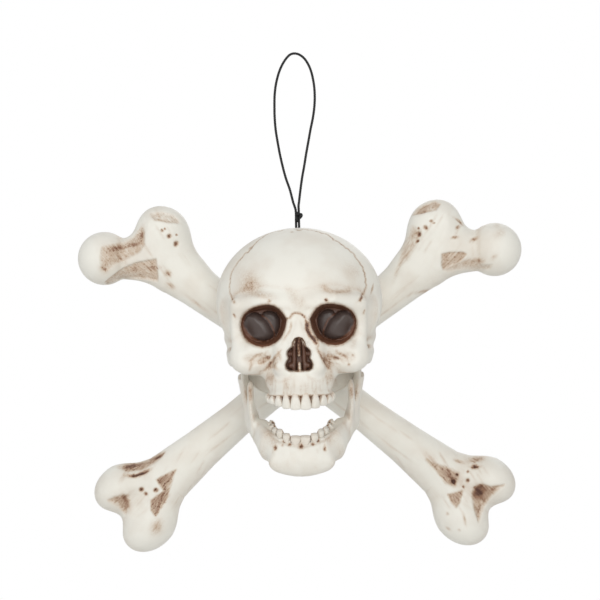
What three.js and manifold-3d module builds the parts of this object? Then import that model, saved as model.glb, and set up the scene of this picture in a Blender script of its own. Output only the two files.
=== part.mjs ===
// Hanging skull with a hinged jaw and two crossed bones behind it.
// Millimetres, +Z up, +X to the viewer's right, -Y towards the viewer.
// The origin is the inside of the cord loop's top, where a hook takes it.

import * as THREE from 'three';
import { mergeVertices } from 'three/addons/utils/BufferGeometryUtils.js';
import Module from 'manifold-3d';

const wasm = await Module();
wasm.setup();

// Sizes of the skull, from the hinge line of the jaw
const halfWidth = 64.5;      // middle to the widest side of the brain case
const faceReach = 70;        // widest line of the head to the front of the face
const backReach = 52;        // widest line of the head to its back
const crownHeight = 96.5;    // cheek arch line to the crown
const shellWall = 3;         // wall of the two moulded head shells
const partingDepth = 14;     // how far behind the widest line the shells part
const jawOpening = 17.3;     // degrees that the jaw hangs open at rest
const seam = 0.3;            // gap between pieces that touch
const swingRoom = 1.1;       // room kept round the jaw all through its swing
const overrun = 4;           // how far a cut runs past the face it opens

// Sizes of the teeth
const toothHeight = 9.5;     // crown of an upper front tooth
const toothThickness = 5;
const frontToothWidth = 7.8;
const toothSink = 4;         // root that stands in the gum
const lowerToothHeight = 7.6;
const lowerWidthShare = 0.92; // of an upper tooth's width

// Sizes of the jaw's pivots
const eyeRadius = 8;
const eyeThickness = 6.2;
const pivotShank = 4;        // shank of the shoulder screw
const pivotHead = 8;
const pivotHeadHeight = 2.4;
const pivotBoss = 14;        // boss on the skull that takes the screw
const pivotReach = 10;       // thread in the boss

// Sizes of the shell screws and their posts
const shellShank = 3;
const shellHead = 6;
const shellHeadHeight = 2.2;
const shellPost = 10;
const shellReach = 12;       // thread in the front post
const shellFloor = 4;        // plastic under the head of a shell screw

// Sizes of the bones
const boneAngle = 38.3;      // each bone's slope from the level
const boneHalfLength = 203;  // crossing to the far end of the knuckles
const boneHeadReach = 181;   // crossing to the middle of the round head
const boneWaist = 29;        // shaft at the crossing
const boneCross = -13.2;     // height of the crossing from the arch line
const boneSink = 6;          // how deep the shafts lie in the back of the head
const boneShank = 4;
const boneHead = 9;
const boneHeadHeight = 2.6;
const boneRecess = 4;        // depth of the screw heads in the rear bone
const boneScrewPitch = 14;
const boneReach = 14;        // thread in the back of the head
const boneBoss = 12;

// Sizes of the hanging cord
const cordWidth = 2;
const strandSpace = 2.3;     // between the two strands where they run side by side
const cordHole = 5.4;
const cordHoleBack = 8;      // behind the widest line of the head
const knotWidth = 5.6;
const knotHeight = 7.6;
const knotLift = 5.4;        // crown to the underside of the outer knot
const stopWidth = 9;
const stopHeight = 6;
const stopDrop = 2.4;        // inner wall at its highest to the top of the stop knot
const loopInside = 135.8;    // crown to the inside of the loop's top

// The loop's route up the left, over its top and down the right, by hand:
// across from the middle and up from the crown. It bows a little to the left.
const loopRoute = [
  [-1.15, 13.4], [-2.1, 17.5], [-3.2, 21], [-5.4, 30.3], [-8.4, 39.6], [-10.7, 49], [-12.6, 58.3],
  [-14.1, 67.6], [-15.4, 77], [-16, 86.3], [-16, 95.6], [-15.6, 105], [-14.2, 114.2],
  [-11.4, 123.5], [-7.6, 130.8], [-3.4, 135.6], [0.8, 136.8], [5.4, 135.2],
  [9.6, 130.8], [13, 123.5], [15, 114.2], [15.7, 105], [15.3, 95.6], [13.9, 86.3], [11.8, 77],
  [9.9, 67.6], [8, 58.3], [6.3, 49], [4.4, 39.6], [2.9, 30.3], [1.6, 21], [1.1, 17.5], [1.15, 13.4],
];

// Facets
const faceStep = 6.2;
const jawStep = 6;
const ramusStep = 3.6;
const headStep = 10;
const hollowStep = 11;
const boneEndStep = 8.5;
const boneShaftStep = 24;
const roundSides = 12;
const screwSides = 10;
const saddleSides = 24;
const toothSides = 8;
const cordSides = 8;
const loopSteps = 46;

const deg = Math.PI / 180;
const tiny = 1e-9;

// The outlines below are shares of the skull's own sizes: across by the half
// width, fore and aft by the reach on that side, and up by the crown height.
const place = ([x, y, z]) => [x * halfWidth, y * (y < 0 ? faceReach : backReach), z * crownHeight];
const extent = ([x, y, z]) => [x * halfWidth, y * faceReach, z * crownHeight];

// Rows: middle x, y, z, half size x, y, z, and blend as a share of the half width
const headShares = [
  [0, -0.343, 0.415, 0.729, 0.557, 0.383, 0.155],        // forehead
  [0, -0.543, 0, 0.667, 0.343, 0.228, 0.14],             // middle of the face
  [0.589, -0.657, -0.031, 0.202, 0.157, 0.124, 0.109],   // cheekbone
  [0.775, 0.154, 0.114, 0.14, 0.2, 0.067, 0.093],        // root of the cheek arch
  [0, -0.629, -0.207, 0.395, 0.357, 0.197, 0.093],       // upper jaw
  [0, -0.286, -0.166, 0.372, 0.429, 0.187, 0.124],       // palate
  [0, -0.74, 0.04, 0.29, 0.22, 0.2, 0.155],              // either side of the nose
  [0, 0.423, -0.041, 0.682, 0.4, 0.34, 0.155],           // base of the skull
  [0, 0.4, -0.22, 0.62, 0.3, 0.165, 0.093],              // its floor
  [0.62, 0.404, -0.124, 0.124, 0.114, 0.155, 0.078],     // mastoid
];
const hollowShares = [
  [0.93, -0.486, 0.207, 0.171, 0.286, 0.249, 0.093],     // temple
  [0.682, -0.286, -0.145, 0.14, 0.314, 0.269, 0.078],    // behind the cheek
  [0.341, -0.986, -0.052, 0.109, 0.114, 0.093, 0.078],   // beside the nose
  [0.558, -0.857, -0.031, 0.14, 0.071, 0.047, 0.062],    // under the eye
];
const brainShares = { middle: [0, 0, 0.415], half: [1, 0.857, 0.585] };

// Rows of a limb: middle x, y, z and half size x, y, z at each step along it
const browShares = [
  [0.093, -0.871, 0.383, 0.093, 0.086, 0.062],
  [0.403, -0.843, 0.425, 0.093, 0.086, 0.052],
  [0.667, -0.7, 0.383, 0.093, 0.086, 0.062],
];
const pillarShares = [
  [0.713, -0.657, 0.373, 0.078, 0.071, 0.052],
  [0.729, -0.614, 0.207, 0.07, 0.079, 0.052],
  [0.682, -0.643, 0.021, 0.093, 0.086, 0.062],
];
const archShares = [
  [0.713, -0.6, -0.031, 0.078, 0.086, 0.067],
  [0.8, -0.343, -0.036, 0.059, 0.071, 0.062],
  [0.829, -0.057, 0, 0.059, 0.071, 0.052],
  [0.775, 0.231, 0.062, 0.078, 0.086, 0.052],
];
const noseShares = [
  [0, -0.829, 0.352, 0.093, 0.071, 0.052],
  [0, -0.9, 0.228, 0.078, 0.071, 0.052],
  [0, -0.96, 0.125, 0.11, 0.06, 0.045],
];
const noseSideShares = [
  [0.14, -0.857, 0.269, 0.062, 0.071, 0.052],
  [0.186, -0.9, 0.062, 0.07, 0.071, 0.052],
  [0.217, -0.914, -0.083, 0.078, 0.071, 0.062],
];
const headLimbBlendShare = 0.093;

// Eye sockets and nose opening: rim, floor and the lid that domes the floor
const eyeShares = { middle: [0.417, -0.8, 0.218], half: [0.273, 0.5, 0.166], taper: 0.14, floor: -0.63 };
const eyeCornerShares = [0.21, -0.857, 0.268, 0.085, 0.3, 0.05];
const lidShares = [0.43, -0.6, 0.2, 0.19, 0.12, 0.11];
const noseHoleShares = [
  [0.04, -1, 0.03, 0.075, 0.2, 0.075],
  [0.085, -1, -0.072, 0.085, 0.2, 0.058],
];
const carveBlendShare = 0.03;

// The lower jaw, drawn closed
const ramusShares = [
  [0.674, 0.077, -0.062, 0.05, 0.114, 0.083],
  [0.705, 0.02, -0.2, 0.06, 0.12, 0.083],
  [0.622, -0.071, -0.518, 0.059, 0.143, 0.104],
];
const coronoidShares = [
  [0.594, -0.386, -0.18, 0.038, 0.071, 0.052],
  [0.6, -0.329, -0.332, 0.044, 0.1, 0.073],
  [0.574, -0.286, -0.477, 0.052, 0.171, 0.104],
];
const jawBodyShares = [
  [0.62, -0.086, -0.539, 0.062, 0.114, 0.093],
  [0.527, -0.4, -0.56, 0.07, 0.086, 0.098],
  [0.403, -0.686, -0.58, 0.078, 0.086, 0.119],
  [0.26, -0.86, -0.601, 0.078, 0.079, 0.125],
  [0, -0.929, -0.612, 0.078, 0.079, 0.13],
];
const jawRidgeShares = [
  [0.45, -0.371, -0.5, 0.062, 0.071, 0.041],
  [0.341, -0.571, -0.53, 0.062, 0.057, 0.062],
  [0.217, -0.8, -0.553, 0.062, 0.057, 0.052],
  [0, -0.9, -0.553, 0.062, 0.057, 0.052],
];
const chinShares = [0, -0.95, -0.66, 0.36, 0.08, 0.086];
const jawBlendShare = 0.07;

// Hinge of the jaw, and the arcs on which the teeth stand
const hingeShares = [0.674, 0.077, -0.062];
const upperArcShares = { side: 0.36, front: -0.95, depth: 0.5, height: -0.335 };
const lowerArcShares = { side: 0.31, front: -0.91, depth: 0.52, height: -0.515 };

// Rows of a bone: along, depth and across of the middle, then half sizes, as
// shares of the half length along and of the waist across
const boneShaftShares = [
  [-0.84, 0, -0.05, 0.1, 0.6, 1.12],
  [-0.7, 0, -0.02, 0.1, 0.54, 0.72],
  [-0.52, 0, 0, 0.1, 0.5, 0.58],
  [-0.34, 0, 0, 0.1, 0.5, 0.5],
  [0.34, 0, 0, 0.1, 0.5, 0.5],
  [0.52, 0, 0.01, 0.1, 0.5, 0.6],
  [0.64, 0, 0.06, 0.1, 0.54, 0.76],
  [0.76, 0, 0.26, 0.1, 0.58, 0.94],
];
const boneKnobShares = [
  [-0.882, 0, -0.745, 0.116, 0.7, 0.645],  // inner knuckle
  [-0.88, 0, 0.64, 0.103, 0.68, 0.59],     // outer knuckle
  [0.77, 0, 0.71, 0.105, 0.6, 0.63],       // shoulder of the upper end
];
const boneNeckShares = [
  [0.74, 0, -0.2, 0.1, 0.5, 0.56],
  [0.87, 0, -0.8, 0.1, 0.5, 0.52],
];
const boneHeadShares = { across: -0.93, radius: 0.745 };
const boneBlendShare = 0.3;
const trochleaShares = [-0.83, -0.72, 0, 0.1, 0.2, 0.34];

// Distance fields: negative inside
function blob([cx, cy, cz], [rx, ry, rz]) {
  return (x, y, z) => {
    const [px, py, pz] = [(x - cx) / rx, (y - cy) / ry, (z - cz) / rz];
    const reach = Math.hypot(px, py, pz);
    const slope = Math.hypot(px / rx, py / ry, pz / rz);
    return slope < tiny ? -Math.min(rx, ry, rz) : reach * (reach - 1) / slope;
  };
}

function limb(steps) {
  const mix = (a, b, t) => a.map((value, i) => value + (b[i] - value) * t);
  return (x, y, z) => {
    let nearest = Infinity;
    for (let i = 0; i + 1 < steps.length; i += 1) {
      const [from, to] = [steps[i], steps[i + 1]];
      const along = [0, 1, 2].map((k) => to.middle[k] - from.middle[k]);
      const span = along[0] ** 2 + along[1] ** 2 + along[2] ** 2;
      const drop = (x - from.middle[0]) * along[0] + (y - from.middle[1]) * along[1]
        + (z - from.middle[2]) * along[2];
      const t = Math.min(1, Math.max(0, drop / span));
      const here = blob(mix(from.middle, to.middle, t), mix(from.half, to.half, t));
      nearest = Math.min(nearest, here(x, y, z));
    }
    return nearest;
  };
}

function join(a, b, blend) {
  if (blend <= 0) return Math.min(a, b);
  const near = Math.max(blend - Math.abs(a - b), 0) / blend;
  return Math.min(a, b) - near * near * blend / 4;
}
const carve = (a, b, blend) => -join(-a, b, blend);

const blobFrom = (row) => blob(place(row.slice(0, 3)), extent(row.slice(3, 6)));
const limbFrom = (rows) => limb(rows.map((row) => (
  { middle: place(row.slice(0, 3)), half: extent(row.slice(3, 6)) })));

// The lower jaw, drawn closed and turned open about its hinge
const hinge = place(hingeShares);
const ramus = limbFrom(ramusShares);
const coronoid = limbFrom(coronoidShares);
const jawBody = limbFrom(jawBodyShares);
const jawRidge = limbFrom(jawRidgeShares);
const chin = blobFrom(chinShares);

function closedJawField(x, y, z) {
  const blend = jawBlendShare * halfWidth;
  const side = Math.abs(x);
  let value = join(ramus(side, y, z), coronoid(side, y, z), blend * 1.4);
  value = join(value, jawBody(side, y, z), blend);
  value = join(value, jawRidge(side, y, z), blend);
  return join(value, chin(x, y, z), blend * 2.4);
}

function turnedJawField(angle) {
  const [cos, sin] = [Math.cos(angle * deg), Math.sin(angle * deg)];
  return (x, y, z) => {
    const [dy, dz] = [y - hinge[1], z - hinge[2]];
    return closedJawField(x, hinge[1] + dy * cos + dz * sin, hinge[2] - dy * sin + dz * cos);
  };
}
const swingShares = [0, 0.25, 0.5, 0.75, 1];
const jawSwing = swingShares.map((share) => turnedJawField(jawOpening * share));

// The head
const brainMiddle = place(brainShares.middle);
const brainHalf = extent(brainShares.half);
const brainFront = blob(brainMiddle, brainHalf);
const brainBack = blob(brainMiddle, [brainHalf[0], backReach, brainHalf[2]]);
const headBlobs = headShares.map((row) => ({ field: blobFrom(row), blend: row[6] * halfWidth }));
const hollows = hollowShares.map((row) => ({ field: blobFrom(row), blend: row[6] * halfWidth }));
const headLimbs = [browShares, pillarShares, archShares, noseShares, noseSideShares].map(limbFrom);
const eyeCorner = blobFrom(eyeCornerShares);
const lid = blobFrom(lidShares);
const noseHoles = noseHoleShares.map(blobFrom);
const eyeMiddle = place(eyeShares.middle);
const eyeHalf = extent(eyeShares.half);
const eyeFloor = eyeShares.floor * faceReach;

function eyeField(x, y, z) {
  const depth = Math.min(1, Math.max(0, (y - eyeMiddle[1]) / (eyeFloor - eyeMiddle[1])));
  const narrow = 1 - eyeShares.taper * depth;
  const across = Math.hypot((x - eyeMiddle[0]) / eyeHalf[0], (z - eyeMiddle[2]) / eyeHalf[2]);
  const wallDistance = (across - narrow) * eyeHalf[2];
  return Math.max(wallDistance, y - eyeFloor);
}

function headField(x, y, z) {
  const side = Math.abs(x);
  let value = y < 0 ? brainFront(x, y, z) : brainBack(x, y, z);
  headBlobs.forEach(({ field, blend }) => {
    value = join(value, field(side, y, z), blend);
  });
  hollows.forEach(({ field, blend }) => {
    value = carve(value, field(side, y, z), blend);
  });
  headLimbs.forEach((field) => {
    value = join(value, field(side, y, z), headLimbBlendShare * halfWidth);
  });
  const carveBlend = carveBlendShare * halfWidth;
  value = carve(value, join(eyeField(side, y, z), eyeCorner(side, y, z), carveBlend), carveBlend);
  value = join(value, lid(side, y, z), carveBlend);
  const noseHole = join(noseHoles[0](side, y, z), noseHoles[1](side, y, z), carveBlend);
  value = carve(value, noseHole, carveBlend);
  jawSwing.forEach((field) => {
    value = Math.max(value, swingRoom - field(x, y, z));
  });
  return value;
}

// The bones lie behind the head, sunk a little way into its back
const boneMiddle = backReach - boneSink + boneWaist / 2;
const seatShaft = boneWaist / 2 + seam;
function shaftDistance(x, y, z) {
  const rise = Math.abs(x) * Math.sin(boneAngle * deg);
  const offset = Math.abs(z - boneCross) * Math.cos(boneAngle * deg);
  return Math.hypot(y - boneMiddle, offset - rise);
}

// The hollow is the brain case's: the face in front of it is moulded thick
const hollowFrontShare = -0.44;
function cavityField(x, y, z) {
  const bone = seatShaft + shellWall - shaftDistance(x, y, z);
  const face = hollowFrontShare * faceReach - y;
  return Math.max(headField(x, y, z) + shellWall, bone, face);
}

const alongBone = (share) => share * boneHalfLength;
const boneStep = (row) => ({
  middle: [alongBone(row[0]), row[1] * boneWaist, row[2] * boneWaist],
  half: [alongBone(row[3]), row[4] * boneWaist, row[5] * boneWaist],
});
const boneShaft = limb(boneShaftShares.map(boneStep));
const boneNeck = limb(boneNeckShares.map(boneStep));
const boneKnobs = boneKnobShares.map(boneStep).map(({ middle, half }) => blob(middle, half));
const boneHeadRadius = boneHeadShares.radius * boneWaist;
const boneBall = blob([boneHeadReach, 0, boneHeadShares.across * boneWaist],
  [boneHeadRadius, boneHeadRadius, boneHeadRadius]);
const trochlea = (() => {
  const { middle, half } = boneStep(trochleaShares);
  return blob(middle, half);
})();

function boneField(x, y, z) {
  const blend = boneBlendShare * boneWaist;
  let value = boneShaft(x, y, z);
  boneKnobs.forEach((field) => {
    value = join(value, field(x, y, z), blend);
  });
  value = join(value, boneNeck(x, y, z), blend);
  value = join(value, boneBall(x, y, z), blend / 4);
  return carve(value, trochlea(x, y, z), blend / 2);
}

// A grid line from each stop to the next, in steps no longer than the last
// entry of the stop that it starts from
function gridLine(stops) {
  const line = [stops[0][0]];
  for (let i = 0; i + 1 < stops.length; i += 1) {
    const [from, step] = stops[i];
    const to = stops[i + 1][0];
    const count = Math.max(1, Math.round((to - from) / step));
    for (let k = 1; k <= count; k += 1) line.push(from + (to - from) * k / count);
  }
  return line;
}

// Corners and edges of a cell, and the edges round each of its faces
const corners = [0, 1, 2, 3, 4, 5, 6, 7].map((n) => [n >> 2, (n >> 1) & 1, n & 1]);
const cellEdges = [];
const edgeBetween = (m, n) => cellEdges.findIndex(([a, b]) => (
  a === Math.min(m, n) && b === Math.max(m, n)));
corners.forEach((from, m) => corners.forEach((to, n) => {
  const apart = from.reduce((sum, value, axis) => sum + Math.abs(value - to[axis]), 0);
  if (m < n && apart === 1) cellEdges.push([m, n]);
}));
const cellFaces = [[0, 1, 3, 2], [4, 5, 7, 6], [0, 1, 5, 4], [2, 3, 7, 6], [0, 2, 6, 4], [1, 3, 7, 5]];

// Which crossed edges of a cell belong to one sheet of the surface: on each
// face the two edges at a corner go together, round the corners inside
function sheetsOf(values) {
  const sheet = cellEdges.map(([m, n], index) => ((values[m] < 0) !== (values[n] < 0) ? index : -1));
  const same = (a, b) => {
    const [from, to] = [sheet[a], sheet[b]];
    sheet.forEach((value, index) => {
      if (value === from) sheet[index] = to;
    });
  };
  cellFaces.forEach((face) => {
    const ring = face.map((corner, n) => edgeBetween(corner, face[(n + 1) % 4]));
    const crossed = ring.filter((edge) => sheet[edge] >= 0);
    if (crossed.length === 2) same(crossed[0], crossed[1]);
    if (crossed.length === 4) {
      face.forEach((corner, n) => {
        if (values[corner] < 0) same(ring[(n + 3) % 4], ring[n]);
      });
    }
  });
  return sheet;
}

// Closed surface where a field is zero: one point for each sheet in a cell
// that it crosses, pulled on to the surface, and a quad round each crossed edge
function surfaceOf(field, xs, ys, zs) {
  const [nx, ny, nz] = [xs.length, ys.length, zs.length];
  const at = (i, j, k) => (i * ny + j) * nz + k;
  const value = new Float64Array(nx * ny * nz);
  for (let i = 0; i < nx; i += 1) {
    for (let j = 0; j < ny; j += 1) {
      for (let k = 0; k < nz; k += 1) value[at(i, j, k)] = field(xs[i], ys[j], zs[k]) || tiny;
    }
  }
  const points = [];
  const pointOf = new Map();
  const cellPoints = (i, j, k) => {
    const values = corners.map(([a, b, c]) => value[at(i + a, j + b, k + c)]);
    const inside = values.filter((one) => one < 0).length;
    if (inside === 0 || inside === 8) return;
    const sheet = sheetsOf(values);
    const low = [xs[i], ys[j], zs[k]];
    const high = [xs[i + 1], ys[j + 1], zs[k + 1]];
    [...new Set(sheet.filter((one) => one >= 0))].forEach((one) => {
      const crossed = cellEdges.filter((edge, index) => sheet[index] === one);
      const mean = [0, 1, 2].map((axis) => crossed.reduce((sum, [m, n]) => {
        const t = values[m] / (values[m] - values[n]);
        const share = corners[m][axis] + (corners[n][axis] - corners[m][axis]) * t;
        return sum + (low[axis] + (high[axis] - low[axis]) * share) / crossed.length;
      }, 0));
      sheet.forEach((other, index) => {
        if (other === one) pointOf.set(at(i, j, k) * 12 + index, points.length);
      });
      points.push(pullOn(field, mean, low, high));
    });
  };
  for (let i = 0; i + 1 < nx; i += 1) {
    for (let j = 0; j + 1 < ny; j += 1) {
      for (let k = 0; k + 1 < nz; k += 1) cellPoints(i, j, k);
    }
  }
  const faces = [];
  const quad = (ring) => {
    const gap = (m, n) => Math.hypot(...points[ring[m]].map((v, axis) => v - points[ring[n]][axis]));
    if (gap(0, 2) <= gap(1, 3)) faces.push([ring[0], ring[1], ring[2]], [ring[0], ring[2], ring[3]]);
    else faces.push([ring[1], ring[2], ring[3]], [ring[1], ring[3], ring[0]]);
  };
  const turns = [[1, 1], [0, 1], [0, 0], [1, 0]];
  const roundEdge = (i, j, k, axis) => {
    const step = [0, 1, 2].map((n) => (n === axis ? 1 : 0));
    const inside = value[at(i, j, k)] < 0;
    if (inside === value[at(i + step[0], j + step[1], k + step[2])] < 0) return;
    const ring = turns.map(([b, c]) => {
      const back = axis === 0 ? [0, b, c] : axis === 1 ? [c, 0, b] : [b, c, 0];
      const corner = back[0] * 4 + back[1] * 2 + back[2];
      const edge = edgeBetween(corner, corner + step[0] * 4 + step[1] * 2 + step[2]);
      return pointOf.get(at(i - back[0], j - back[1], k - back[2]) * 12 + edge);
    });
    quad(inside ? ring : ring.reverse());
  };
  for (let i = 0; i + 1 < nx; i += 1) {
    for (let j = 0; j + 1 < ny; j += 1) {
      for (let k = 0; k + 1 < nz; k += 1) {
        roundEdge(i, j, k, 0);
        roundEdge(i, j, k, 1);
        roundEdge(i, j, k, 2);
      }
    }
  }
  return solid(new Float32Array(points.flat()), new Uint32Array(faces.flat()));
}

function pullOn(field, point, low, high) {
  let [x, y, z] = point;
  const probe = Math.min(high[0] - low[0], high[1] - low[1], high[2] - low[2]) / 20;
  for (let turn = 0; turn < 3; turn += 1) {
    const here = field(x, y, z);
    const slope = [
      (field(x + probe, y, z) - here) / probe,
      (field(x, y + probe, z) - here) / probe,
      (field(x, y, z + probe) - here) / probe,
    ];
    const steep = Math.max(slope[0] ** 2 + slope[1] ** 2 + slope[2] ** 2, tiny);
    x = Math.min(high[0], Math.max(low[0], x - here * slope[0] / steep));
    y = Math.min(high[1], Math.max(low[1], y - here * slope[1] / steep));
    z = Math.min(high[2], Math.max(low[2], z - here * slope[2] / steep));
  }
  return [x, y, z];
}

// Solids from meshes, and meshes from solids
function solid(vertProperties, triVerts) {
  return new wasm.Manifold(new wasm.Mesh({ numProp: 3, vertProperties, triVerts }));
}

function solidFrom(geometry) {
  const bare = geometry.clone();
  bare.deleteAttribute('normal');
  bare.deleteAttribute('uv');
  const merged = mergeVertices(bare);
  const index = [...merged.index.array];
  const kept = index.filter((point, n) => {
    const start = n - n % 3;
    return new Set(index.slice(start, start + 3)).size === 3;
  });
  return solid(Float32Array.from(merged.attributes.position.array), Uint32Array.from(kept));
}

function geometryFrom(shape) {
  const { vertProperties, triVerts } = shape.getMesh();
  const geometry = new THREE.BufferGeometry();
  geometry.setAttribute('position', new THREE.BufferAttribute(vertProperties, 3));
  geometry.setIndex(new THREE.BufferAttribute(triVerts, 1));
  geometry.computeVertexNormals();
  return geometry;
}

const axisY = new THREE.Vector3(0, 1, 0);

// A round bar between two points
function bar(from, to, radius, sides = roundSides) {
  const [a, b] = [new THREE.Vector3(...from), new THREE.Vector3(...to)];
  const along = b.clone().sub(a);
  const geometry = new THREE.CylinderGeometry(radius, radius, along.length(), sides);
  geometry.applyQuaternion(new THREE.Quaternion().setFromUnitVectors(axisY, along.normalize()));
  geometry.translate(...a.add(b).multiplyScalar(0.5));
  return solidFrom(geometry);
}

function block(low, high) {
  const size = high.map((value, i) => value - low[i]);
  const geometry = new THREE.BoxGeometry(...size);
  geometry.translate(...high.map((value, i) => (value + low[i]) / 2));
  return solidFrom(geometry);
}

// A tooth: a tapered crown, round in front, whose root sinks into the gum
const toothProfileShares = [[0, -1], [0.38, -1], [0.52, 0.6], [0.44, 1], [0, 1]];
function tooth(width, thickness, height, sink) {
  const outline = toothProfileShares.map(([radius, rise]) => (
    new THREE.Vector2(radius, rise < 0 ? rise * sink : rise * height)));
  const geometry = new THREE.LatheGeometry(outline, toothSides);
  geometry.rotateX(Math.PI / 2);
  geometry.scale(width, thickness, 1);
  return geometry;
}

// Teeth along half an ellipse, from the front tooth back on each side
const toothWidthShares = [1, 0.8, 0.86, 0.8, 0.8, 0.95];
function toothRow(arc, height, up, widthShare) {
  const side = arc.side * halfWidth;
  const depth = arc.depth * faceReach;
  const rowPoint = (turn) => [side * Math.sin(turn), arc.front * faceReach + depth * (1 - Math.cos(turn))];
  const teeth = [];
  let turn = 0;
  toothWidthShares.forEach((share) => {
    const width = share * frontToothWidth * widthShare;
    const pace = Math.hypot(side * Math.cos(turn), depth * Math.sin(turn));
    const middle = turn + width / 2 / pace;
    const [x, y] = rowPoint(middle);
    const heading = Math.atan2(depth * Math.sin(middle), side * Math.cos(middle));
    [1, -1].forEach((hand) => {
      const geometry = tooth(width, toothThickness, height, toothSink);
      if (!up) geometry.rotateX(Math.PI);
      geometry.rotateZ(hand * heading);
      geometry.translate(hand * x, y, arc.height * crownHeight);
      teeth.push(solidFrom(geometry));
    });
    turn += width / pace;
  });
  return teeth;
}

// The head, meshed finely in the face and coarsely behind the parting
const gridShares = {
  front: -1.2, fineBack: -0.4, back: 1.15,
  side: 1.08, fineSide: 0.86,
  top: 1.06, fineTop: 0.46, bottom: -0.46,
};
const faceEdge = faceReach * gridShares.front;
const faceFine = faceReach * gridShares.fineBack;
const backEdge = backReach * gridShares.back;
const headX = halfWidth * gridShares.side;
const fineX = halfWidth * gridShares.fineSide;
const headTop = crownHeight * gridShares.top;
const fineTop = crownHeight * gridShares.fineTop;
const headBottom = crownHeight * gridShares.bottom;
const pastParting = headStep * 1.5;
const faceField = (x, y, z) => Math.max(headField(x, y, z), y - partingDepth - pastParting);
const backField = (x, y, z) => Math.max(headField(x, y, z), partingDepth - pastParting - y);
const faceBlock = surfaceOf(faceField,
  gridLine([[-headX, headStep], [-fineX, faceStep], [fineX, headStep], [headX, 0]]),
  gridLine([[faceEdge, faceStep], [faceFine, headStep], [partingDepth + 2 * pastParting, 0]]),
  gridLine([[headBottom, faceStep], [fineTop, headStep], [headTop, 0]]));
const backBlock = surfaceOf(backField,
  gridLine([[-headX, headStep], [headX, 0]]),
  gridLine([[partingDepth - 2 * pastParting, headStep], [backEdge, 0]]),
  gridLine([[headBottom, headStep], [headTop, 0]]));
const upperTeeth = toothRow(upperArcShares, toothHeight, false, 1);
const faceWhole = upperTeeth.reduce((whole, one) => whole.add(one), faceBlock);
const hollowLine = (low, high) => gridLine([[low, hollowStep], [high, 0]]);
const cavity = surfaceOf(cavityField, hollowLine(-headX, headX), hollowLine(faceEdge, backEdge),
  hollowLine(headBottom, headTop));

const far = halfWidth * 2;
const farUp = crownHeight * 2;
const faceSide = block([-far, -far, -farUp], [far, partingDepth - seam / 2, farUp]);
const backSide = block([-far, partingDepth + seam / 2, -farUp], [far, far, farUp]);

// Posts that the shell screws draw together
const shellSeat = partingDepth + seam / 2 + shellFloor;
const shellHole = shellShank / 2 + seam;
const eyeInside = hinge[0] - eyeThickness / 2 - seam;
const bossEnd = eyeInside - pivotReach - overrun;
const upperPostShares = [0.62, -0.6, 0.68];
const lowerPostShares = [0, -0.28, -0.13];
const upperPost = place(upperPostShares);
const lowerPost = place(lowerPostShares);
lowerPost[0] = bossEnd - shellWall - shellHole;
const posts = [upperPost, lowerPost].flatMap(([x, y, z]) => [[x, y, z], [-x, y, z]]);

const bonePins = [1, -1].map((hand) => boneCross + hand * boneScrewPitch / 2);
const boneFace = backReach - boneSink - shellWall;

function faceShell() {
  const outside = faceWhole.intersect(faceSide);
  const across = (from, to, radius) => bar([from, hinge[1], hinge[2]], [to, hinge[1], hinge[2]], radius);
  let shell = outside.subtract(cavity);
  posts.forEach(([x, y, z]) => {
    const post = bar([x, y, z], [x, partingDepth - seam / 2, z], shellPost / 2);
    shell = shell.add(post.intersect(outside));
  });
  [1, -1].forEach((hand) => {
    const eyeOutside = hinge[0] + eyeThickness / 2;
    const headTip = eyeOutside + seam + pivotHeadHeight;
    const boss = across(hand * bossEnd, hand * eyeInside, pivotBoss / 2);
    const headRoom = across(hand * eyeOutside, hand * (halfWidth + overrun), pivotHead / 2 + seam);
    const eyeRoom = across(hand * eyeInside, hand * headTip, eyeRadius + swingRoom);
    const bore = across(hand * (eyeInside - pivotReach - seam), hand * (eyeInside + overrun),
      pivotShank / 2 + seam);
    shell = shell.subtract(eyeRoom).subtract(headRoom).add(boss).subtract(bore);
  });
  posts.forEach(([x, , z]) => {
    const start = partingDepth - shellReach - seam;
    shell = shell.subtract(bar([x, start, z], [x, partingDepth + overrun, z], shellHole));
  });
  const hole = bar([0, cordHoleBack, crownHeight / 2],
    [0, cordHoleBack, crownHeight + overrun], cordHole / 2);
  return shell.subtract(hole);
}

function rearShell() {
  const outside = backBlock.intersect(backSide);
  let shell = outside.subtract(cavity);
  posts.forEach(([x, , z]) => {
    const post = bar([x, partingDepth + seam / 2, z], [x, backReach, z], shellPost / 2);
    shell = shell.add(post.intersect(outside));
    shell = shell.subtract(bar([x, shellSeat, z], [x, backReach + overrun, z], shellHead / 2 + seam));
    shell = shell.subtract(bar([x, 0, z], [x, shellSeat + overrun, z], shellHole));
  });
  bonePins.forEach((z) => {
    const boss = bar([0, boneFace - boneReach, z], [0, backReach, z], boneBoss / 2);
    shell = shell.add(boss.intersect(outside));
    shell = shell.subtract(bar([0, boneFace - boneReach - overrun, z], [0, backReach + overrun, z],
      boneShank / 2 + seam));
  });
  const saddleRadius = seatShaft / Math.cos(Math.PI / saddleSides);
  [1, -1].forEach((hand) => {
    const reach = [far * Math.cos(boneAngle * deg), far * Math.sin(boneAngle * deg) * hand];
    shell = shell.subtract(bar([-reach[0], boneMiddle, boneCross - reach[1]],
      [reach[0], boneMiddle, boneCross + reach[1]], saddleRadius, saddleSides));
  });
  return shell;
}

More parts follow.
